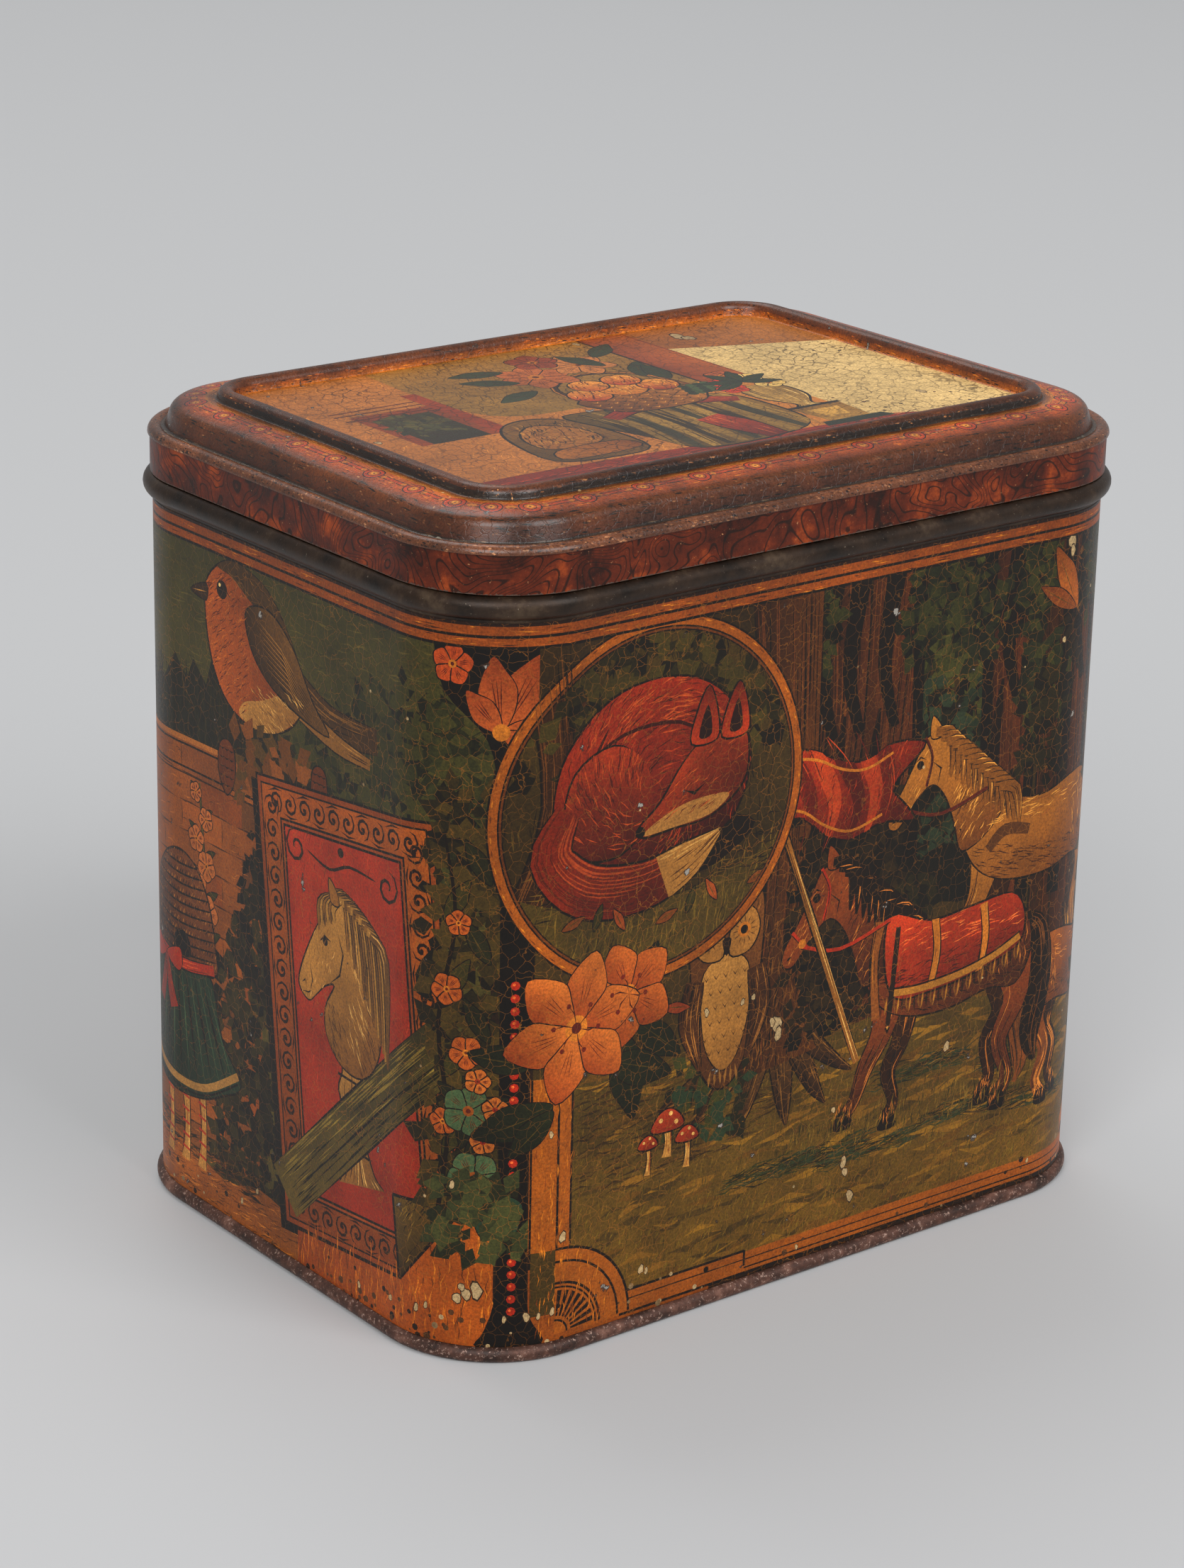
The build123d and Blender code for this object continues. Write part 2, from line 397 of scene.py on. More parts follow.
def visible_lines(picture, low, high, bends, ground=None):
    """Overlays the inks and keeps only the lines between areas that show different ones."""
    ground = ground or [(low[0], low[1]), (high[0], low[1]), (high[0], high[1]), (low[0], high[1])]
    points = [Vector(q) for q in ground]
    outlines = [list(range(len(ground)))]
    kept = showing(picture, low, high)
    for number in kept:
        outline = picture.inks[number][0]
        outlines.append(list(range(len(points), len(points) + len(outline))))
        points += outline
    first_bend = len(points)
    for bend in bends:
        points += [Vector(q) for q in bend]
    folds = [(first_bend + 2 * k, first_bend + 2 * k + 1) for k in range(len(bends))]
    flat, _, faces, _, _, owners = delaunay_2d_cdt(points, folds, outlines, 0, 1e-4, True)
    share = Counter(chain.from_iterable(owners))
    spilt = set()
    for k, number in enumerate(kept, 1):
        u = [p.x for p in picture.inks[number][0]]
        if share[k] > 0.25 * len(faces) and max(u) - min(u) < 0.3 * (high[0] - low[0]):
            spilt.add(k)
    left_of = {}
    for face, owner in zip(faces, owners):
        if 0 not in owner:
            continue
        owner = {kept[k - 1] for k in owner if k > 0 and k not in spilt}
        best = -1
        for number in sorted(owner, reverse=True):
            if picture.inks[number][6] is None or picture.inks[number][6] in owner:
                best = number
                break
        for pair in edges_of(face):
            left_of[pair] = best
    near = defaultdict(set)
    sides = {}
    for (a, b), number in left_of.items():
        if left_of.get((b, a)) != number:
            sides[a, b] = number
            near[a].add(b)
            near[b].add(a)
    folded = {round(bend[0][0], 3) for bend in bends if bend[0][0] == bend[1][0]}
    level = {round(bend[0][1], 3) for bend in bends if bend[0][1] == bend[1][1]}
    for i in list(near):
        if len(near[i]) != 2 or round(flat[i].x, 3) in folded or round(flat[i].y, 3) in level:
            continue
        a, b = near[i]
        if b in near[a]:
            continue
        along = (flat[b] - flat[a]).normalized()
        off = flat[i] - flat[a]
        if abs(along.x * off.y - along.y * off.x) > 0.004:
            continue
        for p, q in ((a, b), (b, a)):
            number = sides.pop((p, i), None)
            sides.pop((i, q), None)
            if number is not None:
                sides[p, q] = number
        near[a].discard(i)
        near[b].discard(i)
        near[a].add(b)
        near[b].add(a)
        del near[i]
    return flat, sides


# The printed face of a sheet stands this far off the metal, and its back this far
print_face = 0.06
print_back = 0.01


def print_sheet(name, picture, low, high, bends, place, body, material, ground=None):
    """Makes the printed face of one sheet, a closed skin a few hundredths of a millimetre thick.

    The bends are where the flat sheet is bent, and place turns a point of it into its place on the tin."""
    drawn, sides = visible_lines(picture, low, high, bends, ground)
    index = {i: k for k, i in enumerate(sorted({i for pair in sides for i in pair}))}
    points = [drawn[i] for i in index]
    edges = [(index[a], index[b]) for a, b in sides if a < b or (b, a) not in sides]
    numbers = [(sides.get((a, b)), sides.get((b, a))) for a, b in sides if a < b or (b, a) not in sides]
    ways_of = [points[b] - points[a] for a, b in edges]
    for bend in bends:
        edges.append((len(points), len(points) + 1))
        points += [Vector(q) for q in bend]
    flat, flat_edges, faces, _, sources, _ = delaunay_2d_cdt(points, edges, [], 0, 1e-4, True)
    seed = {}
    for (a, b), source in zip(flat_edges, sources):
        for k in source:
            if k < len(numbers):
                same = (flat[b] - flat[a]).dot(ways_of[k]) > 0
                seed[a, b] = numbers[k][0 if same else 1]
                seed[b, a] = numbers[k][1 if same else 0]
    by_edge = {}
    for k, face in enumerate(faces):
        for pair in edges_of(face):
            by_edge[pair] = k
    shown = {}
    queue = []
    for pair, number in seed.items():
        k = by_edge.get(pair)
        if k is not None and number is not None and k not in shown:
            shown[k] = number
            queue.append(k)
    while queue:
        k = queue.pop()
        face = faces[k]
        for a, b in edges_of(face):
            if (a, b) not in seed and (b, a) in by_edge and by_edge[b, a] not in shown:
                shown[by_edge[b, a]] = shown[k]
                queue.append(by_edge[b, a])

    bm = bmesh.new()
    ink = bm.loops.layers.float_color.new("ink")
    uv = bm.loops.layers.uv.new("OFBake")
    made = {}
    size = Vector((high[0] - low[0], high[1] - low[1]))

    def vertex(i, depth):
        if (i, depth) not in made:
            made[i, depth] = bm.verts.new(place(flat[i].x, flat[i].y, depth)[0] * MM)
        return made[i, depth]

    rim = {}
    for k, number in shown.items():
        face = faces[k]
        new = bm.faces.new([vertex(i, print_face) for i in face])
        new.smooth = True
        for pair in edges_of(face):
            if by_edge.get(pair[::-1]) not in shown:
                rim[pair] = True
        for loop, i in zip(new.loops, face):
            colour = linear(UMBER)[:3]
            if number >= 0:
                _, first, last, way, start, span, _ = picture.inks[number]
                colour = first.lerp(last, min(1, max(0, (flat[i].dot(way) - start) / span)))[:3]
            loop[ink] = (*colour, 1)
            loop[uv].uv = ((flat[i].x - low[0]) / size.x, (flat[i].y - low[1]) / size.y * 0.97 + 0.03)

    # The back of the skin and its edge, so that it is closed
    border = sorted({i for edge in rim for i in edge})
    index = {i: k for k, i in enumerate(border)}
    back_points = [flat[i] for i in border]
    back_edges = [(index[a], index[b]) for a, b in rim]
    for bend in bends:
        back_edges.append((len(back_points), len(back_points) + 1))
        back_points += [Vector(q) for q in bend]
    back_flat, _, back_faces, origin, _, _ = delaunay_2d_cdt(back_points, back_edges, [], 0, 1e-4, True)
    twin = {}
    for k, start in enumerate(origin):
        near = [border[i] for i in start if i < len(border)]
        if near:
            twin[k] = vertex(near[0], print_back)
        else:
            twin[k] = bm.verts.new(place(back_flat[k].x, back_flat[k].y, print_back)[0] * MM)
    for face in back_faces:
        new = bm.faces.new([twin[i] for i in reversed(face)])
        for loop, i in zip(new.loops, reversed(face)):
            loop[uv].uv = ((back_flat[i].x - low[0]) / size.x, (back_flat[i].y - low[1]) / size.y * 0.02)
    for a, b in rim:
        new = bm.faces.new([
            vertex(a, print_face), vertex(a, print_back), vertex(b, print_back), vertex(b, print_face)])
        for loop in new.loops:
            loop[ink] = linear(BARK)
            loop[uv].uv = (0.5, 0.025)

    mesh = bpy.data.meshes.new(name)
    bm.verts.index_update()
    normals = [Vector((0, 0, 0))] * len(bm.verts)
    for (i, depth), v in made.items():
        way = place(flat[i].x, flat[i].y, depth)[1]
        normals[v.index] = way if depth == print_face else -way
    bm.to_mesh(mesh)
    bm.free()
    mesh.normals_split_custom_set_from_vertices(normals)
    mesh.materials.append(material)
    piece = bpy.data.objects.new(name, mesh)
    bpy.context.scene.collection.objects.link(piece)
    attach(piece, body)


# Lithographed tinplate: flat inks and gold under an oil varnish that has browned and crazed. To the
# eye it is warm and a little glossy, clouded, with a fine network of cracks and chips down to grey tin.
def lithographed_tinplate(
    name, gain, craze_mm, craze_ink, craze_share, craze_wide=0.035, gloss=0.28, rough=0.3, patina=0.38,
    chips=0.72
):
    material, tree, place_on = new_material(name)
    ink = add(tree, "Attribute", attribute_type="GEOMETRY", attribute_name="ink").outputs["Color"]
    cloud = add(tree, "TexNoise", {"Vector": place_on, "Scale": 85.0, "Detail": 6.0, "Roughness": 0.62})
    grain = add(tree, "TexNoise", {"Vector": place_on, "Scale": 2400.0, "Detail": 3.0, "Roughness": 0.7})
    cloudy = add(
        tree, "MapRange",
        {
            "Value": cloud, "From Min": 0.3, "From Max": 0.7, "To Min": (1 - patina) * gain,
            "To Max": (1 + 0.7 * patina) * gain})
    grainy = add(
        tree, "MapRange", {"Value": grain, "From Min": 0.3, "From Max": 0.7, "To Min": 0.55, "To Max": 1.42})
    shade = add(tree, "Math", {0: cloudy, 1: grainy}, operation="MULTIPLY")
    deep = add(tree, "Gamma", {"Color": ink, "Gamma": 1.2})
    shaded = add(tree, "VectorMath", {0: deep, "Scale": shade}, operation="SCALE")
    toned = add(tree, "VectorMath", {0: shaded, 1: linear("#ffe0ac")[:3]}, operation="MULTIPLY")

    # Craze lines, in patches, round cells of the given size
    bent = add(tree, "TexNoise", {"Vector": place_on, "Scale": 700.0, "Detail": 2.0})
    moved = add(tree, "VectorMath", {0: bent.outputs["Color"], "Scale": 0.0011}, operation="SCALE")
    wavy = add(tree, "VectorMath", {0: place_on, 1: moved}, operation="ADD")
    cells = add(tree, "TexVoronoi", {"Vector": wavy, "Scale": 1000.0 / craze_mm}, feature="DISTANCE_TO_EDGE")
    crack = add(
        tree, "MapRange",
        {"Value": cells, "From Min": 0.0, "From Max": craze_wide, "To Min": 1.0, "To Max": 0.0})
    patch = add(tree, "TexNoise", {"Vector": place_on, "Scale": 60.0, "Detail": 3.0})
    crazed = add(
        tree, "MapRange",
        {
            "Value": patch, "From Min": 0.38, "From Max": 0.66, "To Min": craze_share * 0.35,
            "To Max": craze_share})
    cracked = add(tree, "Math", {0: crack, 1: crazed}, operation="MULTIPLY")
    lined = add(tree, "Mix", {0: cracked, 6: toned, 7: linear(craze_ink)}, data_type="RGBA")

    # Chips: a few square millimetres each, ringed with rust, showing grey tin
    spots = add(tree, "TexNoise", {"Vector": place_on, "Scale": 260.0, "Detail": 5.0, "Roughness": 0.6})
    rusted = add(tree, "MapRange", {"Value": spots, "From Min": chips - 0.035, "From Max": chips - 0.01})
    bare = add(tree, "MapRange", {"Value": spots, "From Min": chips, "From Max": chips + 0.012})
    browned = add(tree, "Mix", {0: rusted, 6: lined, 7: linear("#33231a")}, data_type="RGBA")
    chipped = add(tree, "Mix", {0: bare, 6: browned, 7: linear("#9b948a")}, data_type="RGBA")
    roughness = add(
        tree, "MapRange",
        {"Value": grain, "From Min": 0.3, "From Max": 0.7, "To Min": rough, "To Max": rough + 0.18})
    height = add(tree, "Math", {0: grain, 1: crack}, operation="SUBTRACT")
    bump = add(tree, "Bump", {"Height": height, "Strength": 0.35, "Distance": 0.00005})
    finish_material(
        tree,
        {
            "Base Color": chipped, "Roughness": roughness, "IOR": 1.5, "Specular IOR Level": gloss,
            "Normal": bump})
    return material


# ---------------------------------------------------------------------------------------------
# The picture round the wall. A garden with a robin on a brick wall and a card with a carved
# horse's head are on the short side; a round picture and horses in a wood are on the long side.
# s runs round the tin from the front left corner, the front being positive, and z is height.

wall = Picture(11)
sheet_foot = 2.8
sheet_top = 131.9

# Inks that both short sides or both long sides are drawn with, each shaded or mixed from a few
HEDGE = "#22251a #2d3220 #3a4028 #45492a"
IVY = "#1d1b14 #26251a #33301d #3f3c24"
WOODLAND = "#1f2016 #26281a #333820 #434a28 #4c5230"
DUSK = "#2d2614 #4f4523 #5c5028 #241d12"
CANOPY = "#1d1a10 #2d2b17 #46421f"
GRAVEL = "#5c3b1c #c08640 #7a4c22"
CARD_GRAIN = "#7c2c1a #b84c30 #983a24"
CONE_TWIGS = "#2b2618 #5c4a24 #8a5a2c #6d4a22"
CLOUDS = "#63603a #3f4228 #54522f"
CARD_RED = ("#a8402a", "#8e3420", 300)
SKY = ("#5a5733", "#474a2c", 90)
EARTH = ("#8a5a2a", "#a86c34", 200)


def about(x, z, size=1, hand=1):
    """Draws a figure about its own middle: turns its points into places on the sheet."""
    return lambda points: [(x + hand * size * u, z + size * v) for u, v in points]


def brick_wall(p, left, right, foot, top, course=5.6, brick=13.0):
    """Courses of bricks with thin joints, some bricks redder, under a stone coping."""
    wall_face = p.fill(oblong(left, foot, right, top), ("#7a5230", "#98602f", 60))
    rows = int((top - foot) / course)
    for row in range(rows):
        z = foot + row * course
        x = left - (row % 2) * brick / 2
        while x < right:
            if p.chance.random() < 0.4:
                tone = p.chance.choice(["#8a5228", "#a0642f", "#6d4a2b", "#8c5a36"])
                p.fill(oblong(x, z, x + brick, z + course), tone, wall_face)
            if p.chance.random() < 0.75:
                p.line([(x, z), (x + 0.2, z + course / 2), (x, z + course)], 0.28, "#4a2f1a", wall_face)
            x += brick
        for start in range(int(left), int(right), 9):
            wave = p.chance.uniform(-0.25, 0.25)
            p.line([(start, z), (start + 4.5, z + wave), (start + 9.5, z)], 0.34, "#4a2f1a", wall_face)
    p.strands(oblong(left, foot, right, top), 260, 3.2, 0.16, 5, "#5c3b20 #b47a40", wall_face)
    p.rule([(left, top - 0.4), (right, top + 0.6)], 1.0, "#b07a44")
    p.rule([(left, top - 1.4), (right, top - 0.5)], 0.4, BLACK)
    p.rule([(left, top - 5.6), (right, top - 5.0)], 0.4, BLACK)
    p.rule([(left, top - 6.8), (right, top - 6.2)], 0.3, "#3d2a18")


def flower_bush(p, spots, size):
    """Blue-green flowers, each on three leaves."""
    for k, (x, z) in enumerate(spots):
        for angle in (20, 140, 260):
            p.leaf(x, z, angle + 37 * k, size * 1.5, FOREST, 0.42)
        p.flower(x, z, size, 5, TEAL if k % 2 else PALE_TEAL, GOLD, turn=25 * k, point=0.0)


def robin(p, x, z, hand=1):
    """A plump robin, seen from the side, facing left."""
    at = about(x, z, 1, hand)
    p.limb(at([(12, -3), (24, -6.5), (38, -6)]), [9, 6.5, 4.5], "#4c3a22", 26, ("#241a10", "#8a6a3c"))
    p.limb(at([(14, -6), (26, -9.5), (36, -10.5)]), [4, 3.5, 2], "#8a6a3e", 8, ("#3a2816", CREAM))
    body = p.blob(
        at([
            (-14, 4), (-13, 10), (-7, 14.2), (0, 14), (7, 11), (14, 3), (17, -4), (12, -11), (2, -14),
            (-7, -11.5), (-12, -5)]),
        ("#7c4420", "#a8602c", 200), 0.45)
    p.blob(
        at([(-3, -13), (6, -13.6), (14, -9), (17, -4), (12, -4.5), (4, -8), (-2, -10)]),
        ("#c09a62", "#8a6a40", 330), 0, body)
    p.blob(
        at([(-7, 14.4), (0, 14), (8, 10.5), (14, 3), (9, 5), (0, 8.8), (-5, 11.5), (-10, 12.5)]), "#4e3d22",
        0, body)
    wing = p.blob(
        at([(-1, 7), (6, 8.5), (13, 4), (19, -4), (24, -9), (14, -7.5), (5, -4), (0, 1)]),
        ("#3c2d1a", "#6d5430", 40), 0.4)
    for k in range(8):
        f = k / 7
        p.line(
            at([(1 + 3 * f, 6 - 8 * f), (9 + 3 * f, 2 - 7 * f), (20 - f, -5.5 - 3 * f)]), 0.4, BLACK, wing)
        p.line(
            at([(1.6 + 3 * f, 6.4 - 8 * f), (9.6 + 3 * f, 2.6 - 7 * f), (17 - f, -4 - 3 * f)]), 0.24,
            "#9c7a46", wing)
    way = 215 if hand > 0 else -35
    p.strands(
        at([(-14, -12), (0, -14), (0, 8), (-6, 13), (-14, 10)]), 300, 2.2, 0.2, way,
        "#5e2c14 #b87438 #6d381a", body)
    p.strands(
        at([(0, -14), (17, -12), (17, -3), (0, -6)]), 130, 2.4, 0.18, -30 * hand, "#6a4c2a #d8b880", body)
    p.strands(
        at([(-10, 8), (0, 8), (16, 2), (6, 14), (-8, 15)]), 130, 1.8, 0.18, -30 * hand, "#1f170e #7d6238",
        body)
    p.blob(at([(-13.6, 8.6), (-18.6, 6.4), (-13.6, 5.4)]), "#3a2a1a", 0.25)
    p.line(at([(-13.4, 7), (-18, 6.5)]), 0.25, CREAM)
    p.disc(x - hand * 8.6, z + 8.6, 1.7, "#2a1c10")
    p.disc(x - hand * 8.9, z + 8.9, 0.9, BLACK)
    p.disc(x - hand * 9.3, z + 9.3, 0.35, "#e0d0a8")
    for foot in (-3.5, 3):
        p.limb(at([(foot, -13), (foot - 0.6, -17), (foot - 0.2, -20)]), [0.9, 0.7, 0.9], UMBER, edge=0)
        for toe in (-3, -0.8, 1.6):
            p.line(at([(foot - 0.2, -19.6), (foot + toe, -20.6), (foot + toe * 1.2, -22)]), 0.5, UMBER)


def straw_skep(p, x, z):
    """A straw beehive on a round table with a frilled cloth and a ribbon."""
    at = about(x, z)
    for leg in (-5, 0.5, 6):
        p.limb(
            [(x + leg, z - 24), (x + leg + 0.6, z - 32), (x + leg - 0.2, z - 40)], [2.6, 1.8, 2.8], CREAM, 8,
            (RUST, "#d8b880"))
        for ring in range(5):
            p.rule([(x + leg - 1.1, z - 27 - 2.6 * ring), (x + leg + 1.2, z - 27.5 - 2.6 * ring)], 0.5, RED)
    cloth = p.blob(
        at([
            (-9, 0), (8, 0), (13, -12), (19, -19), (13, -23), (6, -26), (-2, -27), (-10, -25.5), (-14, -23),
            (-12, -12)]),
        ("#1f2c27", "#2f4740", 20), 0.45)
    for k in range(13):
        f = k / 12
        top = Vector((x - 8 + 15 * f, z - 0.5))
        low = Vector((x - 14 + 32 * f, z - 25 + 4 * abs(f - 0.4)))
        ink = BLACK if k % 2 else "#46655a"
        p.line([top, top.lerp(low, 0.5) + Vector((0.5 - f, 0.6)), low], 0.7 if k % 2 else 0.4, ink, cloth)
    hem = at([(-14, -21.2), (-8, -23.4), (0, -24.6), (8, -23.2), (18, -17.4)])
    p.rule(through(hem), 1.5, "#a4875a", cloth)
    p.rule(through([(u, v - 1.5) for u, v in hem]), 0.4, BLACK, cloth)
    skep = p.blob(
        at([(-10, -1), (-11.5, 6), (-9.5, 14), (-5, 19), (0, 20.5), (5, 18.5), (9, 13), (11, 5), (10, -1)]),
        ("#3a2416", "#7c5030", 25), 0.5)
    for row in range(11):
        v = z + 0.4 + row * 1.9
        p.line(through([(x - 12, v), (x, v - 1.6), (x + 12, v)]), 0.42, BLACK, skep)
        for k in range(26):
            u = x - 12 + k * 0.95 + p.chance.uniform(-0.2, 0.2)
            ink = "#a87c48" if p.chance.random() < 0.45 else "#2b1a10"
            p.line([(u, v + 0.3), (u + 0.5, v + 1.5)], 0.3, ink, skep)
    p.blob(at([(-2.6, 0.5), (-2.2, 4), (0, 5.2), (2.2, 4), (2.6, 0.5)]), BLACK, 0, skep)
    p.limb(at([(-11, 0.4), (0, -1.4), (10.5, 0.4)]), [2, 2.4, 2], RED, 10, (MAROON, "#c8603a"))
    for hand in (-1, 1):
        p.blob(
            [
                (x - 6, z - 1), (x - 6 + 5 * hand, z + 1.4), (x - 6 + 6 * hand, z - 1.5),
                (x - 6 + 4.4 * hand, z - 3.4)],
            RED, 0.3)
        p.limb(
            [(x - 6, z - 1.5), (x - 6 + 1.5 * hand, z - 7), (x - 6 + 3 * hand, z - 11)], [1.2, 2.6, 3],
            "#8e3420", 6, (MAROON, "#c8603a"))


def scroll_card(p, corners, ground):
    """A tilted card with a band of running scrolls inside black rules. Returns its inner field."""
    tl, tr, br, bl = [Vector(c) for c in corners]

    def at(u, v):
        return bl.lerp(br, u).lerp(tl.lerp(tr, u), v)

    wide = ((tr - tl).length + (br - bl).length) / 2
    tall = ((tl - bl).length + (tr - br).length) / 2

    def frame_at(mm):
        a, b = mm / wide, mm / tall
        return [at(a, b), at(1 - a, b), at(1 - a, 1 - b), at(a, 1 - b)]

    p.fill([q + Vector((-1.2, -1.4)) for q in frame_at(-0.6)], BLACK)
    p.fill(frame_at(-0.5), BLACK)
    p.fill(frame_at(0), "#8a4c22")
    p.fill(frame_at(0.9), BLACK)
    p.fill(frame_at(1.25), ("#7d461f", "#a86428", 70))
    band = 5.2
    step = 4.3
    for first, second in ((0, 1), (1, 2), (2, 3), (3, 0)):
        inner = frame_at(1.2 + band / 2)
        a, b = inner[first], inner[second]
        along = (b - a).normalized()
        over = Vector((-along.y, along.x))
        count = int((b - a).length / step)
        for k in range(count + 1):
            q = a.lerp(b, (k + 0.25) / (count + 0.6))
            hand = 1 if k % 2 else -1
            angle = degrees(atan2(along.y, along.x)) + 90 * hand
            p.spiral(q.x, q.y, 2.15, angle, hand, 0.62, "#2a170c")
            p.line(
                [
                    q - along * 2.4 - over * 2.1 * hand, q - over * 2.3 * hand,
                    q + along * 2.3 - over * 1.6 * hand],
                0.45, "#2a170c")
            p.disc(q.x + over.x * hand * 0.1, q.y + over.y * hand * 0.1, 0.42, "#2a170c", sides=6)
    p.fill(frame_at(1.2 + band), BLACK)
    p.fill(frame_at(1.65 + band), "#96522a")
    p.fill(frame_at(2.1 + band), BLACK)
    return p.fill(frame_at(2.6 + band), ground)


def horse_head(p, x, z, size, hand=1, ink=("#b39058", "#7c5a30", 300), inside=None):
    """A horse's head and neck facing left, as on a carved bust."""
    at = about(x, z, size, hand)
    head = p.blob(
        at([
            (-4, 9), (-8.2, 3), (-11.6, -3.5), (-12.4, -7.4), (-9.6, -9.4), (-7.2, -7.6), (-4.6, -5.2),
            (-2, -4.4), (-4.6, -9), (-4.2, -14), (0, -18), (6, -18.4), (10.5, -14), (12, -6), (11.5, 2),
            (8, 8), (3, 11), (-1, 11)]),
        ink, 0.4, inside)
    p.line(at([(-3.6, -4.6), (-0.4, -2), (0.6, 2), (-1, 5.4)]), 0.45, BLACK, head)
    p.line(at([(-9.2, -2), (-8.4, -5.4), (-9.4, -8.8)]), 0.3, UMBER, head)
    p.line(at([(-6.4, 2.2), (-4.8, 3.6), (-2.8, 3.2)]), 0.7, BLACK, head)
    p.disc(*at([(-4.6, 2.7)])[0], 0.75 * size, BLACK, head)
    p.line(at([(-11.6, -6.8), (-10.6, -6), (-10.2, -7)]), 0.5, BLACK, head)
    p.line(at([(-11.8, -8.3), (-9.6, -8), (-8.4, -7.2)]), 0.35, BLACK, head)
    way = (-60 if hand > 0 else 240)
    p.strands(
        at([(4, -18), (13, -18), (13, 4), (6, 9), (7, -6)]), int(170 * size), 3 * size, 0.22, way,
        "#4a3018 #6d4a26", head)
    p.strands(
        at([(-4, -17), (2, -18), (0, -8), (-4, -6)]), int(60 * size), 2.4 * size, 0.2, way,
        ["#54381c", UMBER], head)
    p.strands(
        at([(-12, -9), (-3, -4), (0, 8), (-6, 8)]), int(70 * size), 1.8 * size, 0.16,
        250 if hand > 0 else -70, "#8a6434 #d2b27c", head)
    p.strands(
        at([(1, -14), (6, -14), (8, 4), (3, 8)]), int(70 * size), 3 * size, 0.2, way, "#cba972 #d8bc88", head
    )
    for k in range(15):
        f = k / 14
        start = (-3.2 + 11.5 * f, 11.4 - 3.4 * f * f)
        end = (2 + 14.5 * f - 3 * f * f, 3 - 17 * f)
        middle = (start[0] + 4.4, start[1] + 0.6 - 4 * f)
        tone = ("#8a6a3a", "#a88850", "#6e5430")[k % 3]
        p.limb(
            at([start, middle, end]), [1.5 * size, 2.1 * size, 0.5 * size], tone, 3, (BLACK, "#d2b27c"),
            0.22, inside)
    for k in range(6):
        p.limb(
            at([(-2.4 + 0.5 * k, 11.6), (-6.2 + 0.8 * k, 9.4), (-6.4 + 0.9 * k, 4.4 + 0.5 * k)]),
            [1.2 * size, 1.4 * size, 0.4 * size], ("#8a6a3a", "#a88850")[k % 2], 2, (BLACK, "#d2b27c"), 0.2,
            inside)
    p.blob(at([(-3, 10.4), (-3.6, 14.4), (-1.2, 12.6), (-0.6, 10.2)]), "#96703e", 0.3, inside)
    return head


def pine_cone(p, x, z, size):
    """A cone hanging from its twig."""
    p.blob(
        [
            (x - size * 0.5, z), (x - size * 0.45, z + size), (x, z + size * 1.3),
            (x + size * 0.45, z + size), (x + size * 0.5, z), (x, z - size * 0.7)],
        "#6a3c1e", 0.35)
    for row in range(5):
        for k in (-1, 0, 1):
            q = (x + k * size * 0.28, z + size * (0.9 - 0.32 * row))
            p.line([(q[0] - 0.9, q[1] + 0.3), q, (q[0] + 0.9, q[1] + 0.3)], 0.35, BLACK)


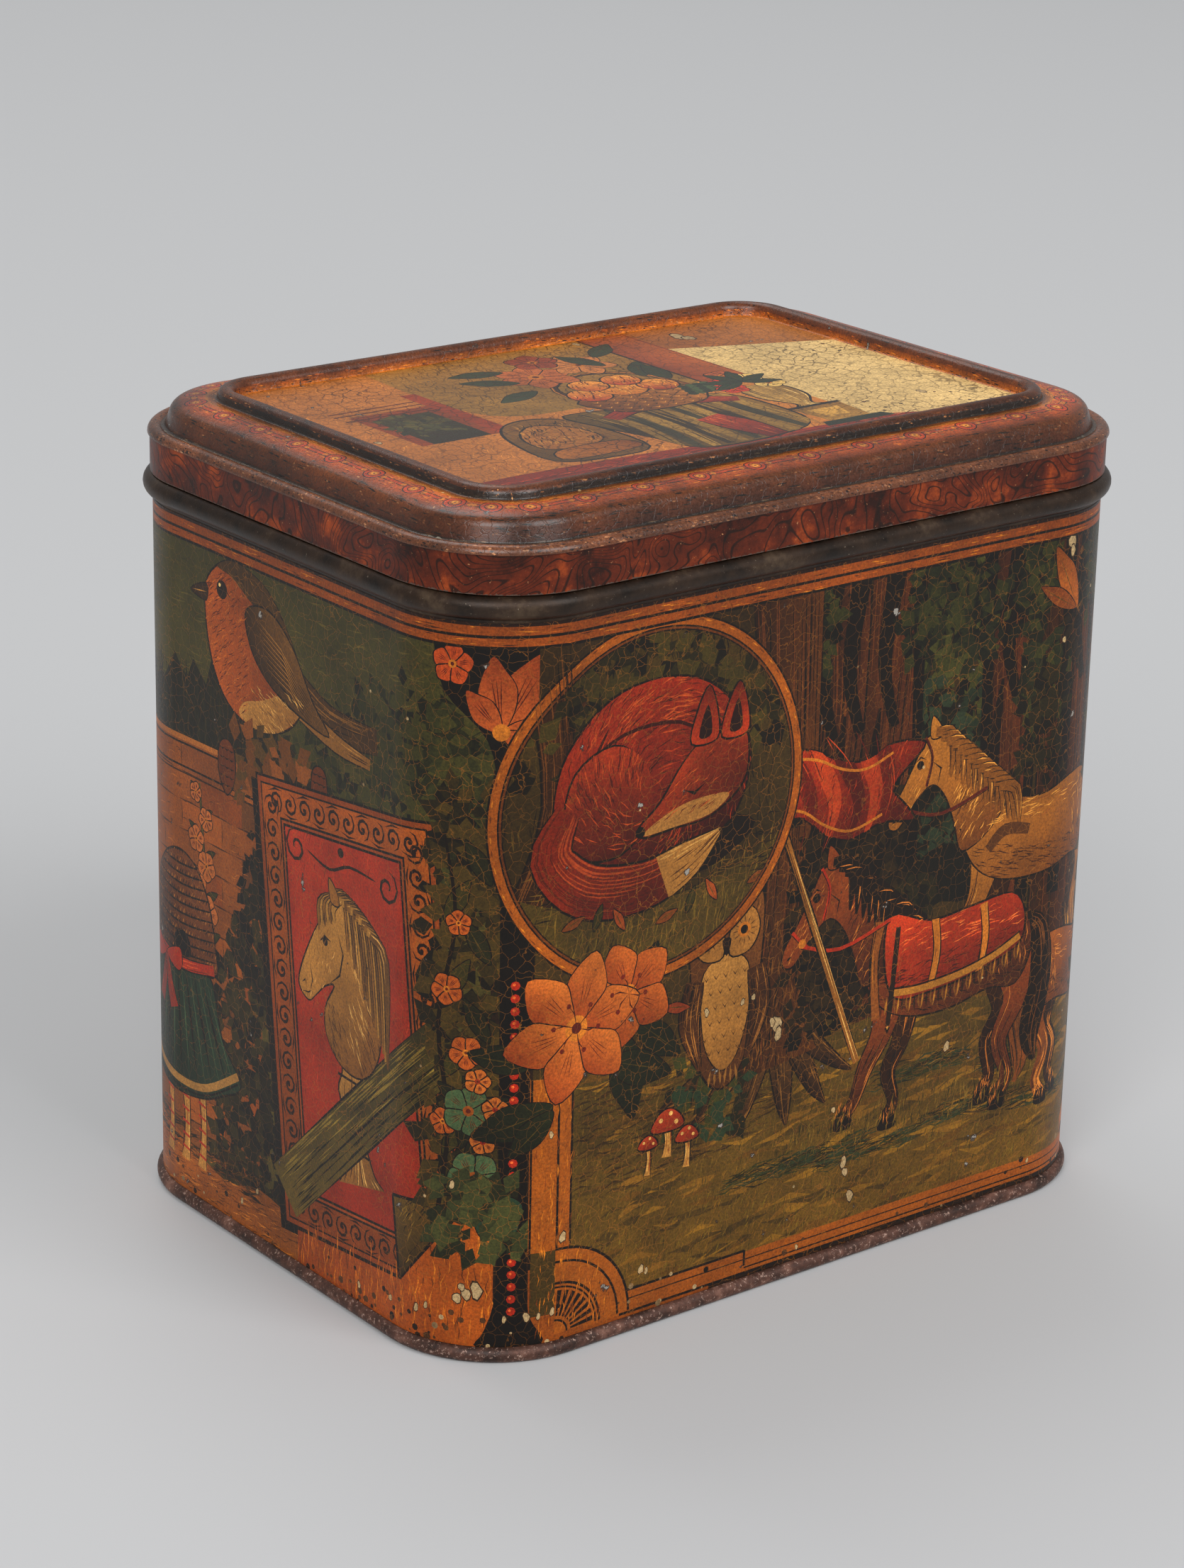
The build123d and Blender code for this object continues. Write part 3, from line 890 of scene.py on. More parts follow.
def horse(
    p, x, z, size, hand=1, coat=("#6d3c1c", "#3a2214", 300), dark="#23170f", light="#a8703c", mane="#1f150e",
    inside=None
):
    """A heavy horse standing in profile, facing left. Returns its way of placing points, for its harness."""
    at = about(x, z, size, hand)

    def leg(points, widths, tone):
        wide = [w * size for w in widths]
        p.limb(at(points), wide, tone, 14, (dark, light), 0.3, inside)
        u, v = points[-1]
        p.blob(
            at([(u - 2.2, v - 2.4), (u - 1.3, v + 0.6), (u + 1.3, v + 0.6), (u + 1.8, v - 2.4)]), "#1d1510",
            0.25, inside)
        p.strands(
            at([(u - 1.8, v + 0.4), (u + 1.8, v + 0.4), (u + 2.2, v + 3.2), (u - 1.4, v + 3.4)]), 24,
            2 * size, 0.2, -100, [dark, light], inside)

    far = "#38220f"
    leg([(-9, -4), (-10, -13), (-13, -19), (-11.4, -25), (-12.6, -28)], [8, 4.6, 3.6, 2.6, 3.2], far)
    leg([(13, -4), (15, -13), (11.5, -19), (12.6, -26), (11, -29)], [9, 5, 3.6, 2.8, 3.4], far)
    tail = [(19, 4), (23.5, 1), (24.5, -9), (22.5, -20), (24, -26)]
    p.limb(
        at(tail), [2.4 * size, 4.6 * size, 6 * size, 5 * size, 1.2 * size], mane, 34, (BLACK, "#6d4a2c"),
        0.25, inside)
    leg([(-13, -3), (-15, -11), (-18.6, -17), (-21, -23), (-23.4, -25.4)], [9, 5.4, 4, 2.8, 3.2], coat)
    leg([(16, -1), (18.4, -11), (14.6, -19.5), (17, -27), (15, -31)], [12, 6.4, 4.2, 3.2, 3.8], coat)
    body = p.blob(
        at([
            (-17, 12), (-9, 8.6), (0, 6.6), (9, 8.8), (16, 8.6), (20.6, 4), (21.6, -3), (18, -9), (11, -8.4),
            (2, -10), (-7, -9.6), (-14, -7), (-18.6, -2), (-20, 4)]),
        coat, 0.4, inside)
    neck = p.blob(
        at([
            (-28.5, 24.5), (-23, 23.5), (-15, 17), (-8.6, 9), (-13, 2), (-20, -1), (-22.4, 5), (-25, 11),
            (-28.6, 14.4), (-32.6, 12), (-36.8, 7.2), (-39.4, 7.6), (-39.2, 10.6), (-36, 15.4), (-33, 20.6),
            (-31, 24)]),
        coat, 0.4, inside)
    over = 0 if hand > 0 else 180
    for area, count, length, width, heading, inks, form in (
        (
            [(-19, -8), (20, -10), (21, -2), (0, -4), (-18, 0)], 220, 3.4, 0.22, -12 * hand,
            [dark, dark, "#4a2c18"], body),
        ([(-16, 2), (18, 2), (17, 8), (0, 6), (-15, 11)], 150, 3.2, 0.2, 8 * hand, [light, "#8a5a30"], body),
        ([(10, -8), (21, -6), (21, 4), (13, 7)], 80, 3.2, 0.22, 100, [light, dark], body),
        (
            [(-22, 0), (-12, 0), (-14, 14), (-26, 20), (-24, 10)], 140, 3, 0.2, 55 * hand + over,
            [dark, light], neck),
        (
            [(-39, 7), (-32, 11), (-28, 22), (-33, 21)], 60, 2, 0.18, 55 if hand > 0 else 125,
            [light, "#c08a50"], neck)
    ):
        p.strands(at(area), int(count * size), length * size, width, heading, inks, form)
    p.line(at([(-27.4, 13.8), (-26.6, 17.4), (-29.4, 19.6)]), 0.4, BLACK, neck)
    p.disc(*at([(-32, 19)])[0], 0.9 * size, BLACK, neck)
    p.line(at([(-33.4, 19.6), (-32, 20.6), (-30.4, 19.8)]), 0.4, BLACK, neck)
    p.line(at([(-38.6, 8.4), (-37.4, 9.2)]), 0.5, BLACK, neck)
    p.blob(at([(-29.6, 24), (-29.4, 28.4), (-27.2, 26.4), (-26.6, 24)]), coat[0], 0.3, inside)
    for k in range(13):
        f = k / 12
        start = (-28.4 + 17.5 * f, 25 - 14.5 * f)
        end = (-24 + 19 * f, 15 - 14 * f)
        p.limb(
            at([start, (start[0] + 4.6, start[1] - 1.4), end]), [1.8 * size, 2.6 * size, 0.5 * size], mane,
            4, (BLACK, light), 0.2, inside)
    return at


def bridle(p, at, size, ink=RED):
    """Three straps and the ring of the bit."""
    for points in (
        [(-37.4, 13.6), (-35, 11), (-33.8, 10.2)], [(-31, 24.4), (-29, 20), (-30.2, 14.4)],
        [(-35.4, 10.6), (-26, 8), (-14, 11)]
    ):
        p.rule(through(at(points)), 0.7 * size, ink)
        p.rule(through(at([(u, v - 0.5) for u, v in points])), 0.2 * size, BLACK)
    p.disc(*at([(-35, 11)])[0], 0.9 * size, PALE_GOLD)


def saddle_cloth(p, at):
    """A red blanket with a fringe, a girth strap and a stirrup."""
    cloth = p.blob(
        at([
            (-14, 11.5), (-4, 8.6), (6, 9.2), (16, 9.6), (19.6, 5), (18.6, -1), (12, -3.4), (4, -5),
            (-4, -5.6), (-12, -5), (-15, 2)]),
        ("#c04a26", "#6a2412", 290), 0.5)
    p.strands(at([(-14, -4), (18, -2), (19, 3), (-14, 0)]), 150, 3, 0.24, 10, [MAROON, "#4a1a0e"], cloth)
    p.strands(at([(-13, 2), (17, 3), (15, 8), (-12, 9)]), 120, 3, 0.22, 8, "#d8683a #e08850 #8a2e18", cloth)
    for u in (-3, 9):
        p.limb(
            at([(u, 9), (u + 0.8, 2), (u - 0.6, -5)]), [1.8, 1.7, 1.6], PALE_GOLD, 4, (UMBER, CREAM), 0.3,
            cloth)
    edge = [(-14, -3.6), (-6, -4.4), (4, -3.8), (12, -2.2), (18.6, 0.4)]
    p.rule(through(at(edge)), 1.3, "#a8803e", cloth)
    p.rule(through(at([(u, v + 0.9) for u, v in edge])), 0.35, BLACK, cloth)
    for k in range(34):
        f = k / 33
        u = -14 + 32.6 * f
        v = -4.2 - 1.4 * sin(pi * f) + 3.6 * f**2
        p.line(
            at([(u, v), (u - 0.2, v - 1.8), (u - 0.5 + 0.4 * (k % 3), v - 3.6)]), 0.55,
            ("#a8803e", UMBER, "#7c5a2c")[k % 3])
    p.limb(at([(-16.4, 11), (-17.6, 3), (-16.6, -8)]), [2.4, 2, 2], "#8a5a2c", 6, (UMBER, PALE_GOLD), 0.3)
    p.limb(at([(-12, 9), (-13, -4), (-13.6, -10)]), [1.1, 1, 1], UMBER, edge=0.2)
    for turn, width in ((1, 1.5), (2, 0.7)):
        ink = BLACK if turn == 1 else "#c09a5c"
        p.rule(
            through(at([
                (-13.6, -10), (-16.4, -14.6), (-17.2, -17.6), (-10.6, -17.4), (-11.4, -14.4), (-13.6, -10)
            ])),
            width, ink)


def tree_trunk(p, points, widths, tone=("#2b1b10", "#63401f", 0), grain=60):
    """A trunk with bark ridges, dark on its left and lit on its right."""
    return p.limb(points, widths, tone, grain // 2, ("#1d140d", "#6a4226"), 0.5, steps=6)


def rooted_stump(p, x, z):
    """The foot of an old tree with its roots spread over the grass."""
    for end, lift, wide in (
        (-26, -9, 3.4), (-19, -14, 3), (-9, -18, 3), (3, -19, 3.4), (12, -17, 3), (18, -12, 2.6)
    ):
        p.limb(
            [
                (x + end * 0.12, z + 6), (x + end * 0.4, z + lift * 0.25), (x + end * 0.75, z + lift * 0.75),
                (x + end, z + lift)],
            [wide * 2, wide * 1.7, wide, 0.5], ("#33231a", "#6d5430", 60), 16, (BLACK, "#8a6a3c"), 0.35)
    trunk = tree_trunk(
        p, [(x, z - 7), (x - 1, z + 4), (x + 1, z + 18), (x + 2, z + 42), (x + 1, z + 80)],
        [19, 13.5, 11, 10.5, 12], grain=90)
    p.strands(
        [(x - 8, z - 10), (x + 8, z - 10), (x + 7, z + 20), (x - 7, z + 20)], 320, 3.4, 0.26, 84,
        [BLACK, "#6a4a28", "#4a301c", "#7c5a30"], trunk)
    p.blob([(x + 1, z + 16), (x + 2.6, z + 21), (x + 4.6, z + 17), (x + 3, z + 12.6)], BLACK, 0.4, trunk)


def owl(p, x, z, size):
    """An owl perched on a root."""
    at = about(x, z, size)
    p.blob(
        at([
            (-7, 6), (-7.4, 13), (-6.6, 17.6), (-3, 16.4), (0, 16.8), (3, 16.4), (6.6, 17.6), (7.4, 13),
            (7, 5), (6, -4), (3, -12), (-1, -14), (-5, -9)]),
        ("#4c321c", "#7a5430", 60), 0.45)
    front = p.blob(
        at([(-4.4, 6), (0, 8.4), (4.4, 6), (4.8, -2), (2.6, -9), (-0.6, -11), (-3.6, -7), (-4.8, 0)]),
        ("#b8945e", "#8a6a3e", 280), 0.3)
    for row in range(6):
        for k in range(-2, 3):
            q = at([(k * 1.9 + (row % 2) * 0.95, 5 - 2.5 * row)])[0]
            p.line(
                [(q[0] - 0.7, q[1] + 0.5), (q[0], q[1] - 0.5), (q[0] + 0.7, q[1] + 0.5)], 0.34, "#4a321c",
                front)
    for hand in (-1, 1):
        face = p.blob(
            at([(hand * 0.6, 8), (hand * 1.2, 14), (hand * 5, 15), (hand * 6.6, 11.4), (hand * 4.6, 8)]),
            "#a8824e", 0.35)
        for k in range(12):
            a = 2 * pi * k / 12
            c = at([(hand * 3.5, 11.5)])[0]
            p.line([spoke(*c, 1.2, a), spoke(*c, 2.8, a)], 0.22, "#5a3c20", face)
        p.disc(*at([(hand * 3.4, 11.6)])[0], 1.25 * size, PALE_GOLD)
        p.disc(*at([(hand * 3.4, 11.6)])[0], 0.75 * size, BLACK)
        p.limb(
            at([(hand * 6, 5), (hand * 7, -2), (hand * 4.6, -10)]), [4, 4.6, 1], "#4a301a", 22,
            (BLACK, "#9c7444"), 0.35)
    p.blob(at([(-0.8, 10.6), (0.8, 10.6), (0, 8)]), "#2b1c10", 0.2)
    p.strands(at([(-7, 14), (7, 14), (4, 17), (-4, 17)]), 60, 1.6, 0.2, 80, [BLACK, "#9c7444"])
    for hand in (-1.6, 1.6):
        for toe in (-0.8, 0, 0.8):
            p.line(
                at([(hand + toe, -10.4), (hand + toe * 1.4, -12), (hand + toe * 1.5, -13.4)]), 0.6, "#8a6a3e"
            )


def toadstool(p, x, z, cap):
    """A red toadstool on a pale stalk."""
    p.limb(
        [(x, z - 5), (x + 0.3, z - 2), (x, z + 1)], [cap * 0.6, cap * 0.45, cap * 0.5], CREAM, 6,
        (RUST, "#d8bc88"), 0.25)
    p.blob(
        [
            (x - cap, z + 0.4), (x - cap * 0.6, z + cap * 0.9), (x + cap * 0.1, z + cap * 1.15),
            (x + cap * 0.8, z + cap * 0.7), (x + cap, z + 0.2), (x, z - 0.3)],
        ("#b04a28", "#7c2c16", 290), 0.35)


def round_picture(p, x, z, radius, ground=("#332a16", "#4a401f", 80)):
    """A round picture in a gold ring between black lines. Returns its field."""
    for reach, ink in ((0.9, BLACK), (0.55, "#9c6022"), (-0.95, BLACK), (-1.25, "#6d421c")):
        p.disc(x, z, radius + reach, ink, sides=72)
    p.disc(x, z, radius - 1.6, BLACK, sides=72)
    field = p.disc(x, z, radius - 1.85, ground, sides=72)
    for k in range(70):
        a = 2 * pi * k / 70 + p.chance.uniform(0, 0.05)
        p.line(
            [spoke(x, z, radius + 0.2, a), spoke(x, z, radius + 0.1, a + 0.05)], 0.3,
            "#c88a34" if k % 2 else "#6d3f18")
    return field


def sleeping_fox(p, x, z, field):
    """A red fox curled asleep with its tail round it."""
    at = about(x, z)
    p.strands(
        at([(-26, -18), (24, -20), (26, -8), (-26, -8)]), 160, 5, 0.24, 4, [BLACK, "#6a5a2e", "#33281a"],
        field)
    p.blob(at([(-22, -8), (-8, -15.5), (12, -15.5), (23, -9), (10, -5), (-12, -4)]), "#1d150f", 0, field)
    back = p.blob(
        at([
            (-20, 1), (-17.5, 11), (-9, 18.6), (2, 20.6), (12, 18), (19, 11), (21.5, 2), (17, -8), (4, -12),
            (-10, -11), (-18, -6)]),
        ("#93341a", "#34120a", 290), 0.5, field)
    core = Vector((x + 1, z - 1))

    def fur(q):
        return degrees(atan2(q.y - core.y, q.x - core.x)) - 78

    p.strands(
        at([(-20, -10), (21, -10), (20, 12), (4, 21), (-16, 14)]), 620, 4.2, 0.26, fur,
        [MAROON, "#983f20", "#6c2612", "#3e150a"], back)
    p.strands(at([(-16, 9), (16, 12), (6, 20), (-8, 18)]), 130, 4, 0.26, fur, "#a8502a #b25c32", back)
    p.line(through(at([(-16, 7), (-6, 12), (6, 12), (15, 6)])), 0.7, "#3d140a", back)
    p.line(through(at([(-9, 14), (-13, 6), (-12, -2)])), 0.7, "#3d140a", back)
    haunch = p.blob(
        at([(-18, -2), (-16, 7), (-8, 10.6), (-1, 6), (0, -3), (-6, -9), (-15, -8)]),
        ("#963c1e", "#44170b", 280), 0.45, field)
    p.strands(
        at([(-18, -8), (0, -8), (0, 8), (-16, 9)]), 200, 3.4, 0.24, lambda q: fur(q) + 25,
        [MAROON, "#ae5429", "#541b0d"], haunch)
    tail = p.limb(
        at([(-17, 1), (-20, -7), (-13, -14), (-1, -15.6), (9, -12.6), (15, -9)]),
        [5, 8, 9.6, 9, 7, 1.2], ("#7a2c16", "#541e0e", 0), 90, (MAROON, "#a04e2a"), 0.45, field)
    p.limb(
        at([(3, -15), (9, -12.6), (15.6, -8.8)]), [8.6, 6.8, 0.8], "#a07e4e", 26, ("#5c4022", "#bca070"),
        0.3, tail)
    head = p.blob(
        at([
            (21, 5), (19, 9.6), (13, 9.4), (7, 5), (2, -1.4), (-2.4, -5), (-1.4, -7), (5, -6.6), (13, -6),
            (20, -1.4)]),
        ("#963e1e", "#562210", 300), 0.45, field)
    p.blob(at([(-1.6, -6.6), (5, -6.4), (13, -5.6), (17, -2.6), (9, -2.4), (3, -4)]), "#a28052", 0, head)
    p.strands(
        at([(-2, -6), (20, -4), (18, 8), (8, 5)]), 150, 2.6, 0.2, 28, ["#b66030", MAROON, "#762a12"], head)
    p.line(at([(7, -0.2), (9.4, -1.2), (12, 0.4)]), 0.7, BLACK, head)
    p.disc(x - 2, z - 5.9, 1.05, BLACK, field)
    for u, tip in ((11, 17.4), (17.6, 17)):
        p.blob(
            [
                (x + u - 2.6, z + 7.6), (x + u - 1.6, z + 13), (x + u + 1, z + tip), (x + u + 3, z + 12.6),
                (x + u + 3, z + 7.6)],
            ("#a8421e", "#5a1e0e", 90), 0.4, field)
        p.blob([(x + u - 1, z + 8.6), (x + u + 0.8, z + 14), (x + u + 1.8, z + 8.8)], "#2b150d", 0, field)


def mossy_rail(p, start, end, wide, inside):
    """A mossy rail lying across the card."""
    a, b = Vector(start), Vector(end)
    p.limb(
        [a, a.lerp(b, 0.35), a.lerp(b, 0.7), b], [wide, wide * 1.02, wide * 0.98, wide],
        ("#6d6438", "#3a3a22", 120), 0, edge=0, inside=inside)
    over = Vector((-(b - a).y, (b - a).x)).normalized()
    for _ in range(150):
        f = p.chance.uniform(-0.48, 0.48)
        t = p.chance.uniform(0, 0.85)
        q = a.lerp(b, t) + over * wide * f
        r = a.lerp(b, t + p.chance.uniform(0.06, 0.2)) + over * wide * f
        light = f + p.chance.uniform(-0.3, 0.3) > 0.05
        p.line([q, r], p.chance.uniform(0.16, 0.4), "#8a8048" if light else "#23230f")
    for f in (-0.5, 0.5, -0.12):
        p.line([a + over * wide * f, b + over * wide * f], 0.5)


# Short side, from the back: sky, trees and wall, then what stands before them
p = wall
p.fill(oblong(-102, 2, 2, 133), SKY)
p.strands(oblong(-102, 96, 2, 128), 420, 5, 0.3, 2, CLOUDS)
p.fill(
    [(-102, 82)] + [
        (-102 + 2.0 * k, 98.5 + p.chance.uniform(0, 7) + (3 if k % 3 == 0 else 0)) for k in range(26)
    ] + [(-50, 82)],
    "#26271b")
p.strands([(-102, 88), (-52, 88), (-56, 100), (-102, 104)], 420, 4.4, 0.36, 90, "#1d1f16 #35361f #2e2f1e")
p.leaves([(-52, 84), (2, 84), (2, 118), (-18, 120), (-30, 112), (-50, 100)], 620, 4.6, HEDGE)
brick_wall(p, -102, -57, 12, 91)
p.leaves([(-72, 8), (-56, 8), (-56, 72), (-66, 66), (-72, 40)], 420, 4.4, IVY)
p.leaves([(-60, 8), (-44, 8), (-50, 60), (-57, 92), (-62, 74)], 260, 4.4, "#1a1811 #221f15 #2a2819")
p.fill(through([(-102, 2), (-102, 15), (-86, 14), (-70, 9.5), (-58, 12), (-46, 9), (-46, 2)]), EARTH)
p.strands([(-102, 2), (-46, 2), (-46, 10), (-102, 15)], 420, 3.4, 0.24, 4, GRAVEL)
p.strands([(-100, 12), (-62, 9), (-60, 14), (-100, 18)], 160, 5, 0.5, 4, "#3d2f1a #57431f #2d2416")
flower_bush(p, [(-96, 40), (-98, 22), (-94, 30)], size=4.2)
p.limb([(-79, 28), (-77, 50), (-75.5, 68), (-76.5, 84)], [1.2, 1.1, 0.9, 0.5], "#5a5a2c", edge=0.25)
for k in range(9):
    p.leaf(-76.6 + (k % 2), 50 + 4 * k, 150 - 120 * (k % 2), 6.5 - 0.4 * k, "#3f4426")
for k in range(6):
    p.flower(
        -76.2 + 1.6 * (-1) ** k, 60 + 4.4 * k, 3.7 - 0.34 * k, 5, "#b87848", PALE_GOLD, turn=30 * k,
        point=0.0)
straw_skep(p, -83, 49)
robin(p, -60, 113)
p.leaves([(-66, 86), (-44, 86), (-44, 97), (-60, 98), (-68, 94)], 130, 4.6, CONE_TWIGS)
pine_cone(p, -67.6, 88, 5.2)
pine_cone(p, -39, 92, 4.6)
card = scroll_card(p, [(-58, 91), (-8.6, 96.4), (-0.5, 14), (-49.5, 9.5)], CARD_RED)
p.strands([(-54, 14), (-10, 16), (-12, 90), (-54, 86)], 320, 3, 0.2, 80, CARD_GRAIN, card)
for hand, u in ((1, -46), (-1, -19)):
    p.spiral(u, 81.5 + (0.8 if hand < 0 else 0), 3.4, 90, hand, 0.7, UMBER, card)
p.line(through([(-43, 82), (-36, 80.4), (-30, 82.6), (-22, 82.4)]), 0.6, UMBER, card)
p.disc(-32.6, 84.4, 0.9, UMBER, card)
stand = [(-29, 52), (-28.4, 46), (-28, 41), (-27.6, 35), (-26.8, 28), (-26.2, 25)]
p.limb(
    stand, [15, 7.5, 10.5, 4.6, 8.6, 14], ("#b8965e", "#7c5c34", 320), 46, ("#4a3018", "#d8bc88"), 0.45, card
)
for u, v, w in ((-28.7, 49, 12.6), (-28.2, 43.6, 10.4), (-27.9, 38, 8), (-27.1, 31, 7.4)):
    p.rule([(u - w / 2, v + 0.2), (u + w / 2, v - 0.2)], 0.5, BLACK, card)
mossy_rail(p, (-50, 15), (-4.4, 58.5), 10.5, None)
horse_head(p, -32.5, 64, 1.03, inside=card)
fold = p.fill([(-17, 27.2), (-1.6, 29.4), (-15, 11.6)], ("#6a5a2c", "#3a3018", 300))
p.strands([(-16, 26), (-3, 28), (-14, 14)], 70, 3, 0.24, 60, "#86743c #33281a", fold)
for a, b in (((-17, 27.2), (-1.6, 29.4)), ((-1.6, 29.4), (-15, 11.6)), ((-17, 27.2), (-15, 11.6))):
    p.rule([a, b], 0.6)
p.fill([(-14.6, 12), (-1.2, 29.2), (3, 29), (3, 2), (-46, 2), (-46, 9)], ("#8e4c1e", "#a8621f", 0))
p.strands(
    [(-46, 2), (3, 2), (3, 26), (-13, 13), (-46, 9)], 420, 4.2, 0.26, 88, "#c07a28 #6d3f16 #a86424 #d08c34")
for k in range(26):
    p.disc(
        p.chance.uniform(-46, 3), 2.8 + 6 * p.chance.random() ** 1.6, p.chance.uniform(0.25, 0.75),
        p.chance.choice([BLACK, UMBER, "#57402c"]), sides=7)

# Round the corner: a tangle of leaves and small flowers beside a black column strung with red beads
p.leaves([(-8, 30), (4, 30), (4, 100), (-4, 104), (-9, 96)], 330, 5, "#1f1c12 #2c2917 #3c361c #4d4420")
for k in range(8):
    p.leaf(-6 + 8 * (k % 2), 38 + 7 * k, 60 + 60 * (k % 2), 9, ("#3f3f20", "#2b2e1c")[k % 2])
p.limb([(-7, 26), (-5, 44), (-7, 62), (-4, 80), (-6, 95)], [0.9, 0.8, 0.8, 0.7, 0.5], "#1d160e", edge=0)
for x, z, size in ((-5.5, 68, 3), (-2, 57, 3.2), (-6, 44, 2.6), (-3.5, 80, 2.4)):
    p.flower(x, z, size, 5, "#a8602c", PALE_GOLD, turn=size * 40, point=0.0)
p.fill(oblong(9, 2, 17, 52), ("#9a5c1e", "#7c4618", 90))
p.fill(oblong(10, 2, 48, 9), "#8e561e")
p.fill(
    through([
        (-8.5, 128.5), (-6.5, 120), (1, 112), (3, 100), (3.4, 80), (3.6, 40), (3.4, 14), (1.6, 6),
        (0.4, 2.6), (11.6, 2.6), (9.4, 8), (8.8, 14), (8.6, 30), (8.6, 62), (10, 72), (13, 86), (14, 110),
        (16, 128.5)]),
    "#16110d")
for k in range(27):
    z = 9.5 + 2.3 * k
    p.disc(6.1, z, 0.82, "#a8331c", sides=8)
    p.disc(5.9, z + 0.2, 0.28, "#dc7a4a", sides=5)
p.flower(-5, 124.6, 3.6, 5, "#b0562c", PALE_GOLD, turn=12, point=0.2)
for angle, length in ((28, 13), (62, 15), (96, 13), (130, 9), (0, 9), (-28, 7)):
    p.leaf(3.2, 113.5, angle, length, ("#b4683a", "#8e4826", angle), 0.5, vein=False)
    for lift in (-10, 0, 10):
        a = radians(angle + lift * 0.5)
        p.line([spoke(3.2, 113.5, 2, a), spoke(3.2, 113.5, length * 0.75, a)], 0.22, MAROON)
p.disc(3.2, 113.5, 1.5, PALE_GOLD)
flower_bush(p, [(-1.5, 46.5), (3.4, 27.5), (-0.5, 34.5)], size=4.8)
for x, z in ((0, 52), (3, 47), (1, 41)):
    p.flower(x, z, 2.4, 5, "#b07038", "#8a2c18", turn=x * 30, point=0.0)
p.leaves([(-8, 20), (8, 20), (6, 32), (-6, 33)], 90, 4.6, "#2b3222 #3c4630 #4a5438")

# The wood on the long side, from the back to the front
p.fill(oblong(9.3, 8, 142, 127.9), ("#4c4220", "#3a2f1a", 90))
p.fill([(16, 4), (144, 4), (144, 44), (100, 49), (60, 46), (16, 52)], ("#6f5c26", "#4f4620", 90))
p.leaves([(86, 74), (110, 74), (112, 128), (86, 128)], 640, 5, WOODLAND)
p.fill([(88, 70), (110, 70), (108, 92), (98, 104), (90, 98)], "#1d1c14")
p.leaves(oblong(88, 72, 110, 106), 260, 3.6, "#17170f #22241a #2b3a30 #33443a")
for spine, widths, tone in (
    ([(61, 60), (60, 92), (57, 128)], [7, 6, 8], ("#2b1c12", "#5a3a20", 0)),
    ([(68, 50), (66.5, 80), (68, 104), (66, 129)], [6, 5, 5.4, 7], ("#33211a", "#4e2f1c", 0)),
    ([(74, 52), (73.4, 84), (75, 108), (74, 129)], [9, 8, 9, 10], ("#2b1c12", "#5a3620", 0)),
    ([(83, 46), (81, 70), (84.5, 96), (86.5, 129)], [17, 12, 12, 14], ("#33200f", "#6a3e20", 0)),
    ([(124, 50), (124, 86), (123, 129)], [7, 6, 7], ("#2b1d14", "#4a2e1c", 0)),
    ([(113, 44), (114, 80), (112.6, 129)], [11, 9, 10], ("#3a2214", "#63391e", 0)),
    ([(131, 40), (131, 84), (130, 129)], [10, 9, 10], ("#352014", "#58341e", 0)),
    ([(140, 36), (140, 80), (141, 129)], [7, 7, 8], ("#38241a", "#5c3820", 0))
):
    tree_trunk(p, spine, widths, tone, grain=int(widths[0] * 9))
p.strands(oblong(56, 46, 144, 66), 200, 4, 0.3, 85, [BLACK, "#2b2416"])
for x in (64.6, 91, 107.4, 118.6, 127, 136):
    p.limb([(x, 60), (x + 0.4, 90), (x - 0.4, 128)], [3.4, 2.2, 3.2], "#17120d", edge=0)
for x in (70, 76, 84, 113, 131):
    p.limb([(x + 2, 100), (x - 1, 112), (x + 1, 128)], [2.2, 3.2, 4.4], "#1b140e", edge=0)
    p.limb([(x - 2.4, 70), (x - 2.8, 92), (x - 1.6, 104)], [1.2, 2.6, 0.6], "#1f150e", edge=0)
for x, z, wide in ((67, 121, 4), (94, 120, 6), (105, 116, 6), (119.4, 121, 4), (136, 120, 4), (122, 100, 5)):
    p.leaves(
        [(x - wide, z - 8), (x + wide, z - 6), (x + wide, z + 9), (x - wide, z + 9)], 110, 4,
        "#17170f #20241a #2b3222 #3c4226")
p.limb([(90, 74), (92, 68), (99, 70), (106, 68), (111, 72)], [7, 9, 11, 9, 7], "#1b1a12", edge=0)
p.leaves([(116, 84), (128, 84), (126, 104), (118, 104)], 90, 4, "#1d1b12 #2c2a18")

# Grass, its blades lighter towards the foot
p.strands(
    [(16, 6), (144, 6), (144, 46), (60, 48), (16, 50)], 420, 9, 1.3, 6, "#80662a #66501f #504420 #8a702c")
p.strands(
    [(16, 6), (144, 6), (144, 46), (60, 48), (16, 50)], 1500, 2.8, 0.2, 80,
    "#75652c #544c20 #44401c #7a6630 #5e4c22")
p.strands(oblong(16, 6, 144, 24), 700, 2.2, 0.2, 60, "#7c702e #84692a #625426")
p.strands([(16, 26), (60, 30), (60, 46), (16, 50)], 330, 5.5, 0.4, 3, "#3c3018 #4a3c1c #5c4a24")
for x, z in ((58, 22), (80, 20), (104, 22), (126, 20), (92, 33), (118, 30), (70, 22)):
    p.strands(oblong(x - 10, z - 1.5, x + 12, z + 1.5), 90, 6, 0.3, 4, "#2b2a16 #3a4226 #37473a")
rooted_stump(p, 61.5, 49)
p.leaves([(40, 34), (52, 32), (56, 44), (44, 50), (38, 44)], 110, 4, "#26281a #3f4626 #2f4438")
owl(p, 49.6, 56.6, 1.12)
for x, z, cap in ((37.6, 36, 3.6), (42, 33, 2.6), (33.4, 33.6, 2.2)):
    toadstool(p, x, z, cap)
    for u, v in ((-0.4, 0.6), (0.2, 0.85), (0.55, 0.35)):
        p.disc(x + u * cap, z + v * cap, cap * 0.13, "#d8bc88", sides=7)

